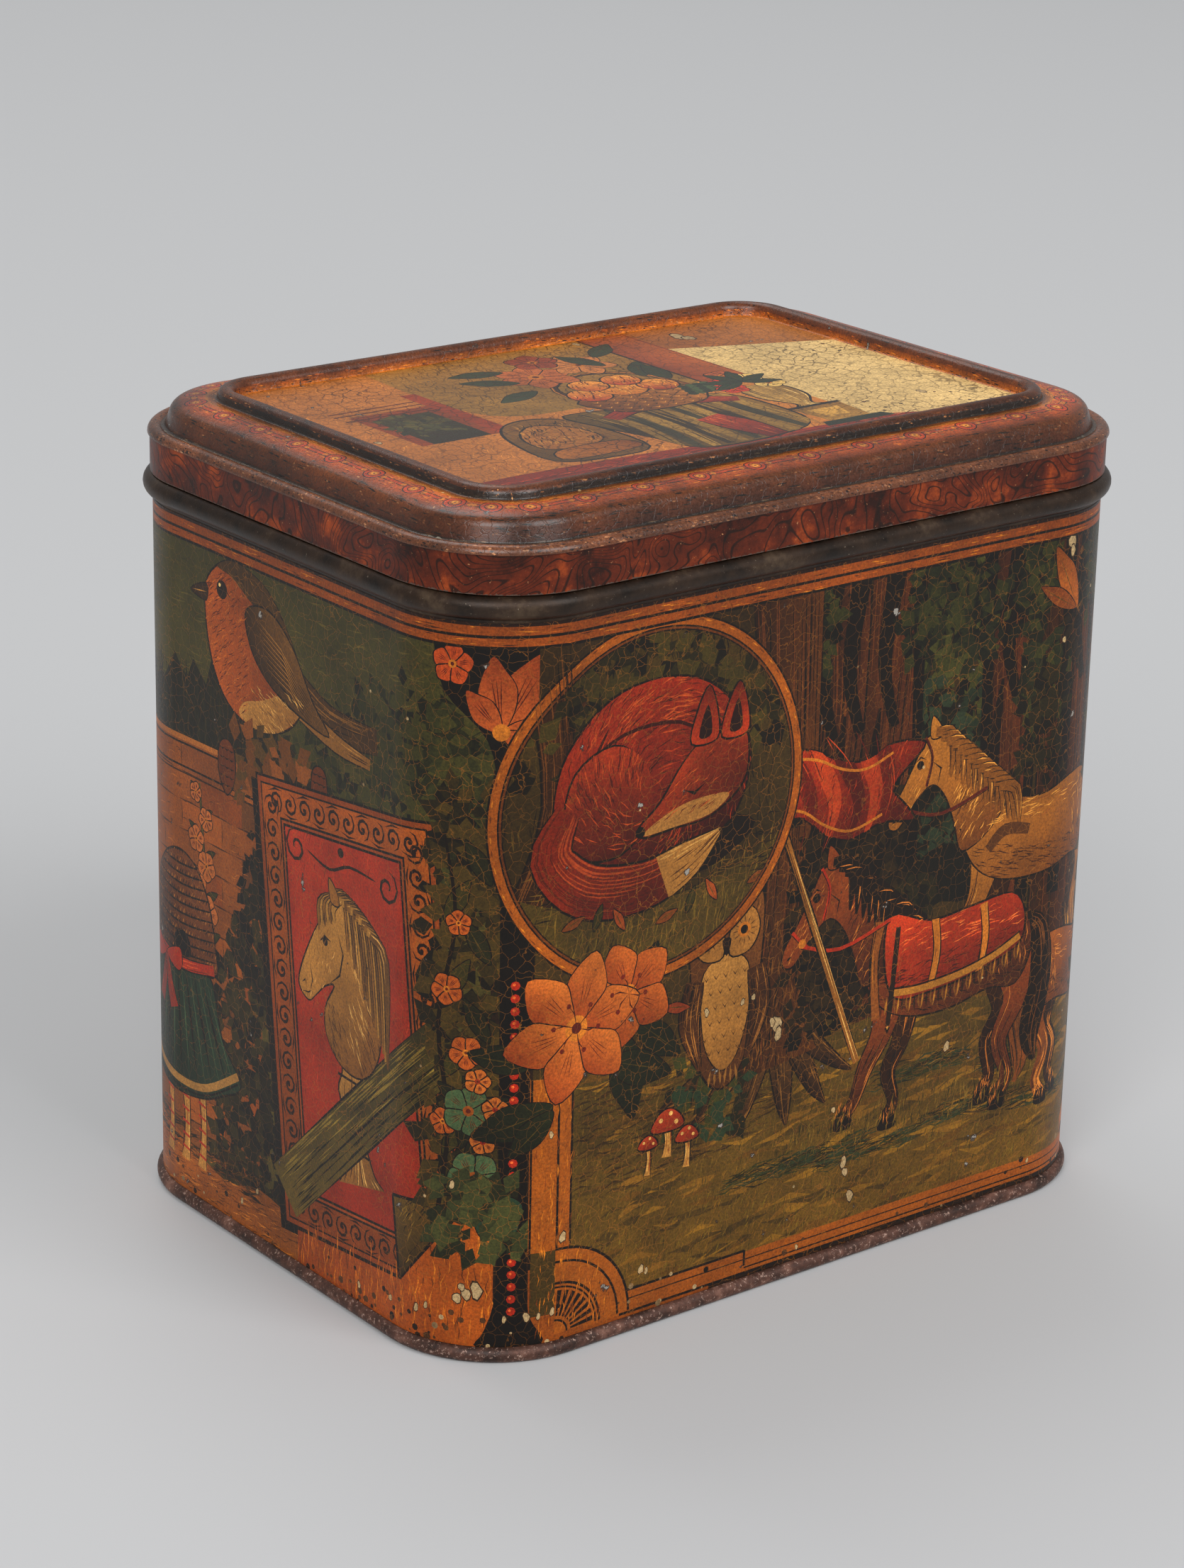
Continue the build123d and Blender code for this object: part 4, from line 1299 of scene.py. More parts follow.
# Horses: a cream one and a dun one behind, and a bay with a red saddle cloth in front
p.blob([(67, 58), (66, 76), (70, 90), (80, 94), (92, 80), (88, 58), (78, 48), (70, 50)], "#1a150e", 0)
p.leaves([(64, 46), (90, 46), (90, 92), (66, 92)], 420, 3.6, "#17150d #201b10 #2b2416 #352c18")
cream_coat = ("#b0803e", "#6e4620", 290)
at = horse(p, 122, 74, 0.92, 1, cream_coat, "#4a2e16", "#dcae64", "#845c2a")
bridle(p, at, 0.92, MAROON)
p.leaves([(86, 60), (96, 60), (98, 70), (88, 74)], 60, 3.6, "#1d1b12 #2c2a18")
at = horse(p, 139, 45, 0.8, -1, ("#9c6430", "#5f381c", 290), "#3a2412", "#cf9450", "#7c4e26")
p.limb([(110, 72), (114, 75), (120, 74)], [2, 2.4, 2], "#5a3c1e", edge=0)
at = horse(p, 101, 53, 0.98, coat=("#8a4c24", "#43271a", 300), light="#c08448")
saddle_cloth(p, at)
bridle(p, at, 0.98)
p.strands([(64, 22), (124, 20), (124, 26), (64, 28)], 260, 3, 0.26, 82, "#5c5428 #7a6a34 #3c3a1e")

# A lance with a red pennon, set in the ground behind the bay
p.limb(
    [(55.6, 100.5), (63, 82), (73, 57), (80.6, 38)], [1.5, 1.6, 1.6, 1.5], "#8a6434", 10, (UMBER, "#d8bc88"),
    0.35)
p.blob([(55, 101), (53.8, 105.6), (56.6, 102)], "#a89c80", 0.35)
pennon = p.blob(
    [
        (56.6, 98), (62, 100), (68, 99), (74, 96), (80, 95), (86, 97), (93.6, 95.6), (88.6, 91), (86, 88.4),
        (89, 85.4), (91.6, 81.6), (84, 82.6), (77, 81), (71, 83), (66, 87), (61, 88.6)],
    ("#a83c1a", "#521a0d", 300), 0.5)
for u, lean, ink in (
    (64.6, 3, "#6a2210"), (74.4, 4, "#5e1d0e"), (83.6, 2, "#6a2210"), (69.6, 3.4, "#b44e26"),
    (79.6, 2.8, "#a84622")
):
    p.limb(
        [(u - lean, 101), (u + 0.6, 95), (u + lean, 88), (u + lean - 2.6, 80)], [0.6, 3.4, 2.8, 0.5], ink, 5,
        (MAROON, "#b8502a"), 0, pennon)
p.strands([(57, 80), (93, 80), (93, 98), (57, 100)], 200, 2.6, 0.18, 66, "#4a160c #b8502a #8e2e16", pennon)
p.rule(
    through([(58.4, 97.2), (63, 98.2), (68.6, 97.2), (74.4, 94.4), (80, 93.4), (86, 95.2)]), 0.5, PALE_GOLD,
    pennon)
p.rule(through([(61.4, 89.6), (66, 88.2), (71.2, 84.6), (77, 82.6), (84, 84.2)]), 0.5, PALE_GOLD, pennon)

# A fern and a leafy spray at the top right, and the gilt frame with its fan in the lower corner
p.leaf(129.4, 114, 118, 14, ("#a86c34", "#7c4a22", 100), 0.34)
p.leaf(129, 114, 150, 11, ("#8a5428", "#6d3f1e", 100), 0.3)
for k in range(5):
    p.leaf(128.6 + 0.5 * k, 113 - 1.6 * k, 200 + 18 * k, 4.6, "#2b2417", vein=False)
for a, b, width, ink in (
    ((13.0, 20), (13.0, 52), 8.2, "#9a601f"), ((9.2, 17), (9.2, 52), 0.4, BLACK),
    ((14.2, 18), (14.2, 50), 0.45, BLACK), ((16.9, 20), (16.9, 50), 0.45, BLACK),
    ((20, 5.6), (144, 5.6), 4.2, "#9a601f"), ((28, 7.9), (56, 7.9), 0.5, BLACK),
    ((28, 3.6), (144, 3.6), 0.5, BLACK), ((56, 5), (56, 8), 0.5, BLACK), ((56, 4.6), (144, 4.6), 0.3, BLACK),
    ((30, 6.2), (144, 6.2), 0.25, UMBER)
):
    p.rule([a, b], width, ink)
fan = [(14, 4), (30, 4)] + [spoke(14, 4, 16, radians(a)) for a in range(6, 91, 6)]
p.fill(fan, "#9c621f")
for reach, width in ((16, 0.5), (13.6, 0.45), (9.6, 0.5), (8.8, 0.35), (2.6, 0.4)):
    p.arc(14, 4, reach, 0, 90, width)
for k in range(8):
    a, b = radians(3 + 11 * k), radians(9.4 + 11 * k)
    p.fill(
        [spoke(14, 4, 3.4, a), spoke(14, 4, 8.2, a), spoke(14, 4, 8.2, b), spoke(14, 4, 3.4, b)], "#1d150e")
p.strands([(9.4, 3), (30, 3), (17, 20), (17, 50), (9.4, 50)], 300, 2.6, 0.2, 85, "#c8892f #7a4618 #b47828")

# The round picture hangs over the wood, with two lilies under it
field = round_picture(p, 33, 97, 31.3)
p.strands(oblong(2, 66, 64, 128), 620, 5, 0.3, 92, DUSK, field)
p.limb(
    [(8, 80), (14, 100), (12, 128)], [9, 8, 11], ("#241a11", "#4a3018", 0), 60, (BLACK, "#6d4a28"), 0.4,
    field)
p.leaves(oblong(6, 104, 60, 128), 260, 5, CANOPY, field)
p.fill(
    through([(0, 64), (0, 84), (14, 82), (34, 79), (52, 82), (66, 86), (66, 62)]),
    ("#5a5026", "#4a4220", 90), field)
p.strands([(2, 64), (64, 64), (64, 84), (2, 82)], 420, 4, 0.26, 78, "#6d6230 #38321a #7a6a34", field)
sleeping_fox(p, 32, 98, field)
for k in range(7):
    p.leaf(
        14 + 6.6 * k, 78 - 3 * sin(pi * k / 6), 20 + 50 * (k % 3), 5,
        ("#7a4a22", "#3c3c1e", "#96522a")[k % 3], inside=field)
for angle, length, x, z in (
    (-80, 17, 27, 57), (-40, 13, 30, 58), (200, 15, 13, 47), (170, 12, 10, 55), (-20, 15, 24, 52),
    (225, 11, 13, 46), (60, 9, 30, 64)
):
    p.leaf(x, z, angle, length, ("#2b3322", "#1d2218", angle), 0.44)
p.limb([(28, 58), (34, 60), (40, 58.5)], [0.7, 0.6, 0.4], UMBER, edge=0)
p.leaf(36, 59, -10, 6, "#8a4426")
p.flower(28.4, 63.6, 8.6, 5, ("#8e4620", "#b87038", 50), PALE_GOLD, turn=40, point=0.9)
p.flower(17.4, 60, 11.6, 6, ("#944a22", "#c07c40", 50), PALE_GOLD, turn=14, point=0.9)
for x, z, reach in ((17.4, 60, 4.6), (28.4, 63.6, 3.6)):
    for k in range(6):
        a = radians(60 * k + 40)
        p.line([(x, z), spoke(x, z, reach * 0.6, a), spoke(x, z, reach, a + 0.2)], 0.3, "#4a2212")
        p.disc(*spoke(x, z, reach, a + 0.2), 0.5, "#6a2412", sides=6)


def garden_ground(p, left):
    """The sky, the bushes, the garden wall and the gravel of the far short side."""
    right = left + 102
    p.fill(oblong(left, 2, right, 133), SKY)
    p.strands(oblong(left, 96, right, 128), 420, 5, 0.3, 2, CLOUDS)
    p.leaves([(left, 84), (right, 84), (right, 106), (left + 50, 112), (left, 104)], 700, 4.6, HEDGE)
    brick_wall(p, left, right, 12, 91)
    p.fill(through([(left, 2), (left, 14), (left + 40, 10), (left + 70, 13), (right, 9), (right, 2)]), EARTH)
    p.strands([(left, 2), (right, 2), (right, 10), (left, 13)], 620, 3.4, 0.24, 4, GRAVEL)


p = wall
start = quarter + long_run - 1
at = about(start, 0)
garden_ground(p, start)
card = scroll_card(p, at([(22, 96), (72, 91), (66, 10), (14, 15)]), CARD_RED)
p.strands(at([(18, 16), (68, 12), (72, 90), (22, 94)]), 320, 3, 0.2, 80, CARD_GRAIN, card)
p.limb(
    at([(43, 50), (43, 40), (42, 30), (41.6, 22), (41.6, 19)]), [9, 22, 24, 8, 15],
    ("#3d5a50", "#24362f", 0), 60, (BLACK, PALE_TEAL), 0.5, card)
for z, wide in ((48, 12), (43, 19), (36, 23), (30, 22), (24, 13)):
    p.rule([(start + 42.6 - wide / 2, z), (start + 42.6 + wide / 2, z)], 0.7, PALE_GOLD, card)
for k in range(9):
    p.leaf(start + 43, 52, 10 + 20 * k, 17, ("#2d3520", "#3f4426")[k % 2], inside=card)
for k, (u, v) in enumerate(((-11, 62), (11, 61), (0, 73), (-7, 80), (8, 79), (1, 61))):
    p.flower(
        start + 44 + u, v, 6.4, 6, ("#b4683a", "#c09a62", "#8e3a20")[k % 3] if k != 2 else "#c09a62",
        PALE_GOLD, turn=20 * k, point=0.5, inside=card)
robin(p, start + 36, 113.5, -1)
p.leaves(at([(24, 87), (48, 87), (46, 97), (28, 98)]), 130, 4.6, CONE_TWIGS)
straw_skep(p, start + 87, 49)
p.leaves(at([(70, 8), (78, 8), (80, 70), (72, 64)]), 320, 4.4, IVY)
p.leaves(at([(0, 8), (16, 8), (20, 70), (8, 86), (0, 80)]), 520, 4.6, IVY)
flower_bush(p, at([(74, 54), (76, 40), (8, 60), (12, 44), (6, 30), (75, 24)]), size=4.8)

# The long side at the back: the same wood, with the cream horse alone and an owl in the round picture
start = 2 * quarter + long_run + short_run + 1
at = about(start, 0)
p.fill(at(oblong(0, 2, 141, 133)), ("#4c4220", "#3a2f1a", 90))
p.leaves(at(oblong(0, 66, 141, 128)), 1500, 5.4, WOODLAND)
p.fill(at([(0, 2), (141, 2), (141, 46), (90, 50), (40, 45), (0, 50)]), ("#5c5426", "#4a4620", 90))
for k in range(9):
    u = start + 10 + 15 * k + 3 * (k % 2)
    tree_trunk(
        p, [(u, 44 + 3 * (k % 3)), (u + 1.4, 84), (u - 1, 129)],
        [9 + 3 * (k % 3), 7 + 2 * (k % 3), 9 + 2 * (k % 2)],
        ("#38241a", ("#6d4024", "#85502a", "#5c3820")[k % 3], 0), grain=80)
p.strands(
    at([(0, 6), (141, 6), (141, 47), (0, 49)]), 1600, 3.4, 0.24, 80,
    "#6d6430 #4c4a22 #3c3c1e #7a6a34 #5c4a22")
rooted_stump(p, start + 64, 49)
on_horse = horse(p, start + 36, 54, 0.98, -1, cream_coat, "#5a3c1e", "#d2ae74", "#8a6838")
bridle(p, on_horse, 0.98)
for u, z, cap in ((78, 30, 4.2), (84, 27, 3), (73, 26, 2.4)):
    toadstool(p, start + u, z, cap)
for z, wide, ink in ((5.6, 4.2, "#9a601f"), (3.6, 0.5, BLACK), (7.7, 0.5, BLACK)):
    p.rule(at([(0, z), (141, z)]), wide, ink)
field = round_picture(p, start + 104, 94, 31.3)
p.strands(at(oblong(72, 62, 136, 126)), 620, 5, 0.3, 92, DUSK, field)
p.leaves(at(oblong(72, 100, 136, 126)), 300, 5, CANOPY, field)
p.limb(
    at([(76, 78), (104, 74), (134, 79)]), [5, 6, 4], ("#2b1d12", "#5c3c20", 90), 60, (BLACK, "#8a6234"), 0.4,
    field)
owl(p, start + 104, 93, 1.5)
for angle, length, u, z in (
    (-80, 17, 96, 55), (-40, 13, 100, 56), (200, 15, 84, 47), (-20, 15, 93, 50), (225, 11, 83, 46)
):
    p.leaf(start + u, z, angle, length, ("#2b3322", "#1d2218", angle), 0.44)
p.flower(start + 98, 60, 8.6, 5, "#b06434", PALE_GOLD, turn=40, point=0.9)
p.flower(start + 87, 56, 11, 6, "#bc7040", PALE_GOLD, turn=14, point=0.9)

# Two gilt stripes between black lines run round under the bead
for z, wide, ink in (
    (130.2, 4.4, "#2b190e"), (130.6, 1.5, "#8a5020"), (128.6, 1.5, "#8e5220"), (129.55, 0.32, BLACK),
    (127.75, 0.5, BLACK)
):
    p.rule([(-102, z), (girth - 98, z)], wide, ink)
for k in range(420):
    s = p.chance.uniform(-102, girth - 99)
    z = p.chance.choice([130.6, 128.6]) + p.chance.uniform(-0.6, 0.6)
    p.line(
        [(s, z), (s + p.chance.uniform(1, 4), z + p.chance.uniform(-0.15, 0.15))], 0.2,
        p.chance.choice(["#c08434", "#4a2a14", "#a8642a"]))


def chip(p, x, z, size):
    """A flake of paint gone, down to grey tin, with a rusty edge."""
    count = 9
    for reach, ink in ((1.25, "#3d3024"), (1.0, "#b5aea2")):
        ring = []
        for k in range(count):
            a = 2 * pi * k / count
            r = size * reach * (0.7 + 0.5 * abs(sin(k * 2.3 + x + z)))
            ring.append((x + r * cos(a) * 0.8, z + r * sin(a) * 1.2))
        p.fill(ring, ink)


for x, z, size in (
    (61.5, 50, 1.3), (62, 48, 1), (60.5, 50.6, 0.7), (78.6, 19, 0.9), (79, 17, 0.7), (126.6, 126.6, 1.1),
    (127, 125, 0.8), (80.4, 12, 0.9), (102.4, 35.6, 0.8), (75.6, 30, 0.5), (53.6, 56, 0.5), (56, 56.4, 0.5),
    (45.6, 56, 0.6), (15.4, 22, 0.8), (126, 108.6, 0.5), (124.6, 7, 0.4), (32.6, 11, 0.7), (33.8, 10.4, 0.5),
    (0.2, 13.4, 1.2), (-1.6, 12.6, 0.9), (-3.2, 11.6, 0.8), (-4.2, 32.6, 0.6), (12.8, 41.6, 0.5),
    (-2.4, 13.8, 0.6), (5, 8, 0.5), (8.8, 8.2, 0.7), (11, 8, 0.5), (13.6, 8.4, 0.6), (-9, 9, 0.5),
    (-11, 8, 0.6), (-17.6, 7.4, 0.5), (-27, 6, 0.5), (-64, 7.6, 0.5), (68.2, 5.2, 0.4), (-59, 11.4, 0.5)
):
    chip(p, x, z, size)
for k in range(130):
    s = p.chance.uniform(-101, girth - 102)
    z = sheet_foot + 6.5 * p.chance.random() ** 2
    p.disc(
        s, z, p.chance.uniform(0.2, 0.7), p.chance.choice([BLACK, UMBER, "#8a8074", "#57402c", "#b5aea2"]),
        sides=7)
for k in range(60):
    s = p.chance.uniform(-101, girth - 102)
    p.disc(
        s, p.chance.uniform(8, 128), p.chance.uniform(0.15, 0.35),
        p.chance.choice(["#b5aea2", "#8a8074", BLACK]), sides=6)


# The wall is rubbed thin by hands, so its varnish is only lightly crazed
side_paint = lithographed_tinplate("lithographed_tinplate_wall", 1.34, 2.1, "#a8661f", 0.6, 0.024)


def on_wall(s, z, depth):
    """A point of the wrapper, s round it and z up, and the way it faces."""
    place, out = round_the_tin(s, depth)
    place.z = z
    return place, out


def four_sides(foot, head):
    """Each side from corner middle to corner middle, with the upright lines where its sheet is bent."""
    for k, side in enumerate(("left", "front", "right", "back")):
        low, high = (side_middle[3] - girth, 0) if k == 0 else (side_middle[k - 1], side_middle[k])
        lines = [line + turn for line in bend_lines for turn in (-girth, 0, girth)]
        upright = [((line, foot), (line, head)) for line in lines if low + 0.01 < line < high - 0.01]
        yield side, low, high, upright


side_middle = [
    0, quarter + long_run, 2 * quarter + long_run + short_run, 3 * quarter + 2 * long_run + short_run]
corner_bends = 28
bend_lines = []
for middle in side_middle:
    bend_lines += [middle + quarter * (k / corner_bends - 0.5) for k in range(corner_bends + 1)]
for side, low, high, upright in four_sides(sheet_foot, sheet_top):
    sheet_low, sheet_high = (low, sheet_foot), (high, sheet_top)
    print_sheet(
        f"wall_print_{side}", wall, sheet_low, sheet_high, upright, on_wall, "tin", side_paint)

# ---------------------------------------------------------------------------------------------
# The lid's stamped top: one tinplate pressing with a sunk field, a bead round it, a broad hump and
# a rounded rim. Its inks run over the whole of it, so its printed skin follows the same section.

field_inset = 15.29
field_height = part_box("lid_panel")[1].z / MM - 2.5
section_start = Vector((-field_inset, field_height))
# Each move is a radius and the degrees it turns, or a straight run and no turn: inner foot, climb, crest,
# drop, outer foot, hump, shoulder, fall, groove and rim
section_moves = [
    (0.5, 75), (1.05, 0), (1.5, -150), (0.59, 0), (0.5, 83), (14.0, -26), (2.4, -54), (2.35, 0), (0.6, 112),
    (1.35, -130)]
move_runs = [size if turn == 0 else size * abs(radians(turn)) for size, turn in section_moves]
section_run = sum(move_runs)


def lid_section(v):
    """The point v millimetres along the lid's upper face from the field's edge, and its facing angle."""
    at = section_start.copy()
    heading = 0.0
    for (size, turn), run in zip(section_moves, move_runs):
        step = min(v, run)
        if turn == 0:
            at += Vector((cos(heading), sin(heading))) * step
        else:
            hand = 1 if turn > 0 else -1
            centre = at + Vector((-sin(heading), cos(heading))) * size * hand
            heading += hand * step / size
            at = centre + Vector((sin(heading), -cos(heading))) * size * hand
        v -= step
        if v <= 1e-9:
            break
    return at, heading + pi / 2


section_folds = []
passed = 0.0
for (size, turn), run in zip(section_moves, move_runs):
    pieces = 1 if turn == 0 else max(2, ceil(abs(turn) / (5 if size > 5 else 13)))
    section_folds += [passed + run * k / pieces for k in range(1, pieces + 1)]
    passed += run
section_folds = section_folds[:-1]


def on_lid(s, v, depth):
    """A point of the border, s round the lid and v in from its rim, and the way it faces."""
    at, facing = lid_section(section_run - v)
    at = at + Vector((cos(facing), sin(facing))) * depth
    place, out = round_the_tin(s, at.x)
    place.z = at.y
    return place, Vector((out.x * cos(facing), out.y * cos(facing), sin(facing)))


# The border's inks: a gold-flecked inner slope, a brown bead worn at its foot and flecked light down its
# outer side (partly wear, partly painted highlight streaks), a blue-black gutter, the hump with a chain of
# rosettes, a dark outer slope and a rubbed rim
border = Picture(23)
p = border
round_start, round_end = -120.0, girth + 20.0
for low, high, ink in (
    (-0.5, 1.9, ("#c08028", "#6a3c16", 90)), (1.6, 5.9, ("#6a4224", "#42291a", 90)),
    (5.3, 6.9, ("#2b211c", "#2b2119", 90)), (6.6, 8.8, ("#5a3a1c", "#a8702a", 90)),
    (8.2, 12.9, ("#b06a24", "#8e4c1c", 90)), (12.4, 14.2, ("#8e5020", "#55331e", 90)),
    (13.8, 18.2, ("#664022", "#46291a", 90)), (17.9, 19.3, ("#2b201a", "#5a4c46", 90)),
    (19.0, section_run + 1, ("#7a5646", "#563a2c", 90))
):
    p.fill(oblong(round_start, low, round_end, high), ink)


def along_border(count, low, high, length, width, inks):
    """Flecks and rubs that follow the border round the lid."""
    for _ in range(count):
        s = p.chance.uniform(round_start, round_end)
        v = p.chance.uniform(low, high)
        half = length * p.chance.uniform(0.3, 0.8)
        tall = width * p.chance.uniform(0.5, 1.2)
        tilt = p.chance.uniform(-0.4, 0.4) * tall
        fleck = [(s - half, v), (s - half * 0.2, v - tall), (s + half, v + tilt), (s + half * 0.3, v + tall)]
        p.fill(fleck, p.chance.choice(stones(inks)))


for fleck in (
    (900, 0.0, 1.8, 1.5, 0.14, "#c88a34 #a8641e #33190c #6a3c14"),
    (700, 1.9, 5.4, 1.8, 0.16, "#5a3c28 #1b110c #3a281e #6a4830"),
    (420, 0.0, 1.0, 0.7, 0.14, "#8a6a54 #a88468 #241811"),
    # Light and dark flecks down the bead's outer side: partly wear, partly painted highlight streaks
    (520, 4.8, 5.8, 0.8, 0.14, "#7a5c48 #5a4436 #9c7c64 #2b1d14"),
    (300, 5.8, 6.9, 1.6, 0.14, "#3c3c3c #14110f #4a4644"),
    (900, 6.9, 9.2, 1.6, 0.13, "#a8783a #5a4020 #c08a3c #2d2214")
):
    along_border(*fleck)
for v, wide, ink in (
    (10.5, 0.7, "#a04a1a"), (10.0, 0.22, BLACK), (11.0, 0.22, BLACK), (12.6, 0.3, "#8a4a1c"),
    (8.3, 0.3, "#a0742e")
):
    p.rule([(round_start, v), (round_end, v)], wide, ink)


def rosette(s, v, wide, tall):
    """An orange ring with a yellow heart and a dot each side, linked by the line."""
    for reach, ink in (
        (1.22, BLACK), (1.08, "#a8481a"), (0.72, "#4a2010"), (0.6, "#a8641e"), (0.36, "#c89a44"),
        (0.14, "#6a3014")
    ):
        p.fill(
            [
                (s + wide * reach * cos(a), v + tall * reach * sin(a))
                for a in [pi * k / 7 for k in range(14)]],
            ink)
    for hand in (-1, 1):
        p.fill(
            [
                (s + hand * wide * (1.7 + 0.3 * cos(a)), v + tall * 0.34 * sin(a))
                for a in [pi * k / 4 for k in range(8)]],
            "#b07a2c")
        for rise in (-tall, tall):
            p.line(
                [
                    (s + hand * wide * 1.2, v + rise * 1.1), (s + hand * wide * 2.2, v + rise * 0.7),
                    (s + hand * wide * 3.0, v)],
                0.26, "#a04a1a")


for corner in side_middle:
    for turn in (-girth, 0):
        for k in (-1, 0, 1):
            rosette(corner + turn + 9.6 * k, 10.5, 2.5, 1.75)
        run_on = long_run if corner in (0, side_middle[2]) else short_run
        count = 9 if run_on == long_run else 6
        for k in range(count):
            rosette(corner + turn + quarter / 2 + run_on * (k + 0.5) / count, 10.5, 1.7, 1.6)
for fleck in (
    (1500, 8.8, 12.6, 1.2, 0.1, "#5c3014 #c88a3c #3a1e0e #8a4a1c"),
    (1300, 13.0, 17.9, 1.8, 0.16, "#4e3626 #1b130e #5c4030 #33251a"),
    (520, 13.8, 17.0, 0.6, 0.14, "#7a5c48 #5a4436 #8a6c58"),
    (300, 17.9, 19.0, 2.0, 0.1, "#5a504c #7a706a #1f1a18"),
    (3000, 19.2, section_run, 0.6, 0.18, "#7a5a4c #8e6e60 #2b1a14 #5c3c2e #9c7e70 #4a2e24 #241611"),
    (110, 6.0, 13.5, 0.5, 0.3, "#a89a8a #7a6c60 #b89c84")
):
    along_border(*fleck)

# Drawn from the field outwards, and printed with its top towards the field
for k, (outline, first, last, way, low, span, inside) in enumerate(p.inks):
    outline = [Vector((q.x, section_run - q.y)) for q in reversed(outline)]
    p.inks[k] = (outline, first, last, Vector((way.x, -way.y)), low - section_run * way.y, span, inside)

# The border takes the most handling: clouded brown varnish with a brighter gloss
border_paint = lithographed_tinplate(
    "varnished_tinplate_lid_border", 1.62, 2.2, "#1b120c", 0.4, 0.04, 0.6, 0.2, 0.72)
for side, low, high, upright in four_sides(0, section_run):
    bends = [((low, section_run - v), (high, section_run - v)) for v in section_folds] + upright
    sheet_low, sheet_high = (low, 0), (high, section_run)
    print_sheet(
        f"lid_border_{side}", border, sheet_low, sheet_high, bends, on_lid, "lid", border_paint)

# The sunk field: a still life of fruit, flowers and drapery in a parlour, on crazed gold, with a painted
# reflection of the lamps' glare over its right end
field_picture = Picture(31)
p = field_picture
edge_x = half_length - field_inset
edge_y = half_width - field_inset
# Painted reflection: the gold ground lightens towards the right, and the pale cream block over its right end
# stands for the glare of the lamps off the gilt
p.fill(oblong(-62, -42, 62, 42), ("#a87848", "#cc9656", 0))
p.fill(oblong(28, -42, 62, 42), ("#cfc4a6", "#dcd3b8", 0))
p.fill([(28, 26), (62, 14), (62, 42), (28, 42)], ("#9c6a3c", "#b08048", 0))
p.strands(oblong(-60, -40, 28, 40), 700, 3.4, 0.22, 62, "#b8864e #946238 #cc985a")
p.fill(
    through([(-30, 42), (-31, 20), (-28, 4), (-16, 0), (4, 2), (18, 4), (18, 42)]),
    ("#8a7444", "#a08048", 90))
p.strands(oblong(-30, 4, 18, 40), 620, 3, 0.24, 70, "#766238 #a08650 #655230 #8e764a")
p.fill(oblong(18, 0, 28.4, 42), ("#8e4e30", "#a8683c", 0))
p.rule([(18, 0), (18, 42)], 0.6, UMBER)
p.rule([(28.4, -6), (28.4, 42)], 0.5, RUST)
p.fill(oblong(-50, -6, -33, 16), "#8a4a28")
p.fill(oblong(-47.5, -6, -35.5, 12.5), ("#2f2d20", "#464630", 90))
p.leaves(oblong(-47, 0, -36, 12), 60, 3, "#33382a #4a5038 #5c5c3a")
for z in (14, 17.5, 19.5):
    p.rule([(-52, z), (-31, z)], 0.5, MAROON)
p.fill(oblong(-33.6, -6, -30.4, 24), "#96482a")
p.fill(
    through([(-60, -42), (-60, -31), (-30, -30), (0, -32), (30, -33), (38, -36), (38, -42)]),
    ("#7a3022", "#963c28", 0))
for v in (-33.6, -36.4, -39):
    p.rule([(-60, v), (36, v - 0.6)], 0.35, MAROON)
p.strands([(-58, -41), (34, -41), (34, -33), (-58, -32)], 330, 4, 0.3, 2, "#a84a34 #5c2015 #b8644a")
chair = p.blob(
    [(-37, -26), (-36, -12), (-32, -4), (-26, -1.4), (-20, -4), (-17, -12), (-17.6, -27), (-27, -29)],
    ("#5c4a2c", "#86683c", 40), 0.6)
p.blob(
    [(-33.6, -19), (-33, -11), (-27, -5.4), (-21, -10), (-20.6, -18), (-27, -21)],
    ("#946a3c", "#a87c48", 60), 0.5, chair)
p.strands(oblong(-34, -20, -20, -6), 120, 3, 0.3, 70, [UMBER, "#b08a50", "#6d4a2a"], chair)
p.blob([(-33, -21), (-20, -20.6), (-18.6, -26), (-34, -26.6)], ("#a8763c", "#7c5028", 0), 0.4)
drape = p.blob(
    [
        (-18, -3), (-6, -4), (4, -2), (15, -5), (18, -14), (17, -28), (8, -33), (-10, -33), (-14, -22),
        (-17, -12)],
    ("#5e5030", "#927a48", 20), 0.6)
for k in range(12):
    u = -15 + 2.8 * k
    p.limb(
        [(u, -4), (u + 1.5 - 0.2 * k, -16), (u - 2 + 0.3 * k, -33)], [0.8, 2.6, 1.6],
        ("#3c3524", "#8e7a4a", "#46483a", "#a48e58")[k % 4], 8, (BLACK, "#a8905a"), 0, drape)
p.limb(
    [(3, -17), (4.6, -24), (6, -33)], [6, 7.6, 4.6], ("#a8482e", "#6a2418", 270), 22, (MAROON, "#d07c58"),
    0.4)
p.limb(
    [(-12, -9), (-3, -5.4), (8, -6.4), (16, -10)], [3.4, 4.4, 4.4, 3], "#8e3a28", 20, (MAROON, "#c8684a"),
    0.4)
basket = p.blob([(-9, 4), (15, 3), (13, -5), (8, -8), (-3, -8), (-8, -5)], ("#6a4422", "#b08048", 30), 0.5)
for row in range(6):
    for k in range(13):
        q = (-9 + 1.9 * k + 0.9 * (row % 2), 3 - 2 * row)
        p.line(
            [(q[0], q[1] + 0.8), (q[0] + 0.9, q[1]), (q[0] + 1.7, q[1] + 0.8)], 0.4,
            UMBER if k % 2 else "#d0a05c", basket)
p.limb(
    [(-9, 4), (-7, 14), (3, 19), (12, 14), (15, 3)], [1.2, 1.3, 1.4, 1.3, 1.2], "#6a4422", 30,
    (UMBER, "#c08c4c"), 0.3)
for k, (u, v, r, ink) in enumerate((
    (-5, 6, 4.2, "#a84428"), (3, 7, 4.8, "#c08038"), (10.4, 6, 4, "#96361f"), (-1, 11.6, 3.8, "#b86a34"),
    (6.6, 12, 3.8, "#a84428")
)):
    apple = p.blob([spoke(u, v, r, a) for a in [pi * j / 4 for j in range(8)]], (ink, "#d8a458", 60), 0.4)
    p.strands(oblong(u - r, v - r, u + r, v + r), 26, 2.6, 0.26, 70, [MAROON, "#e0b068"], apple)
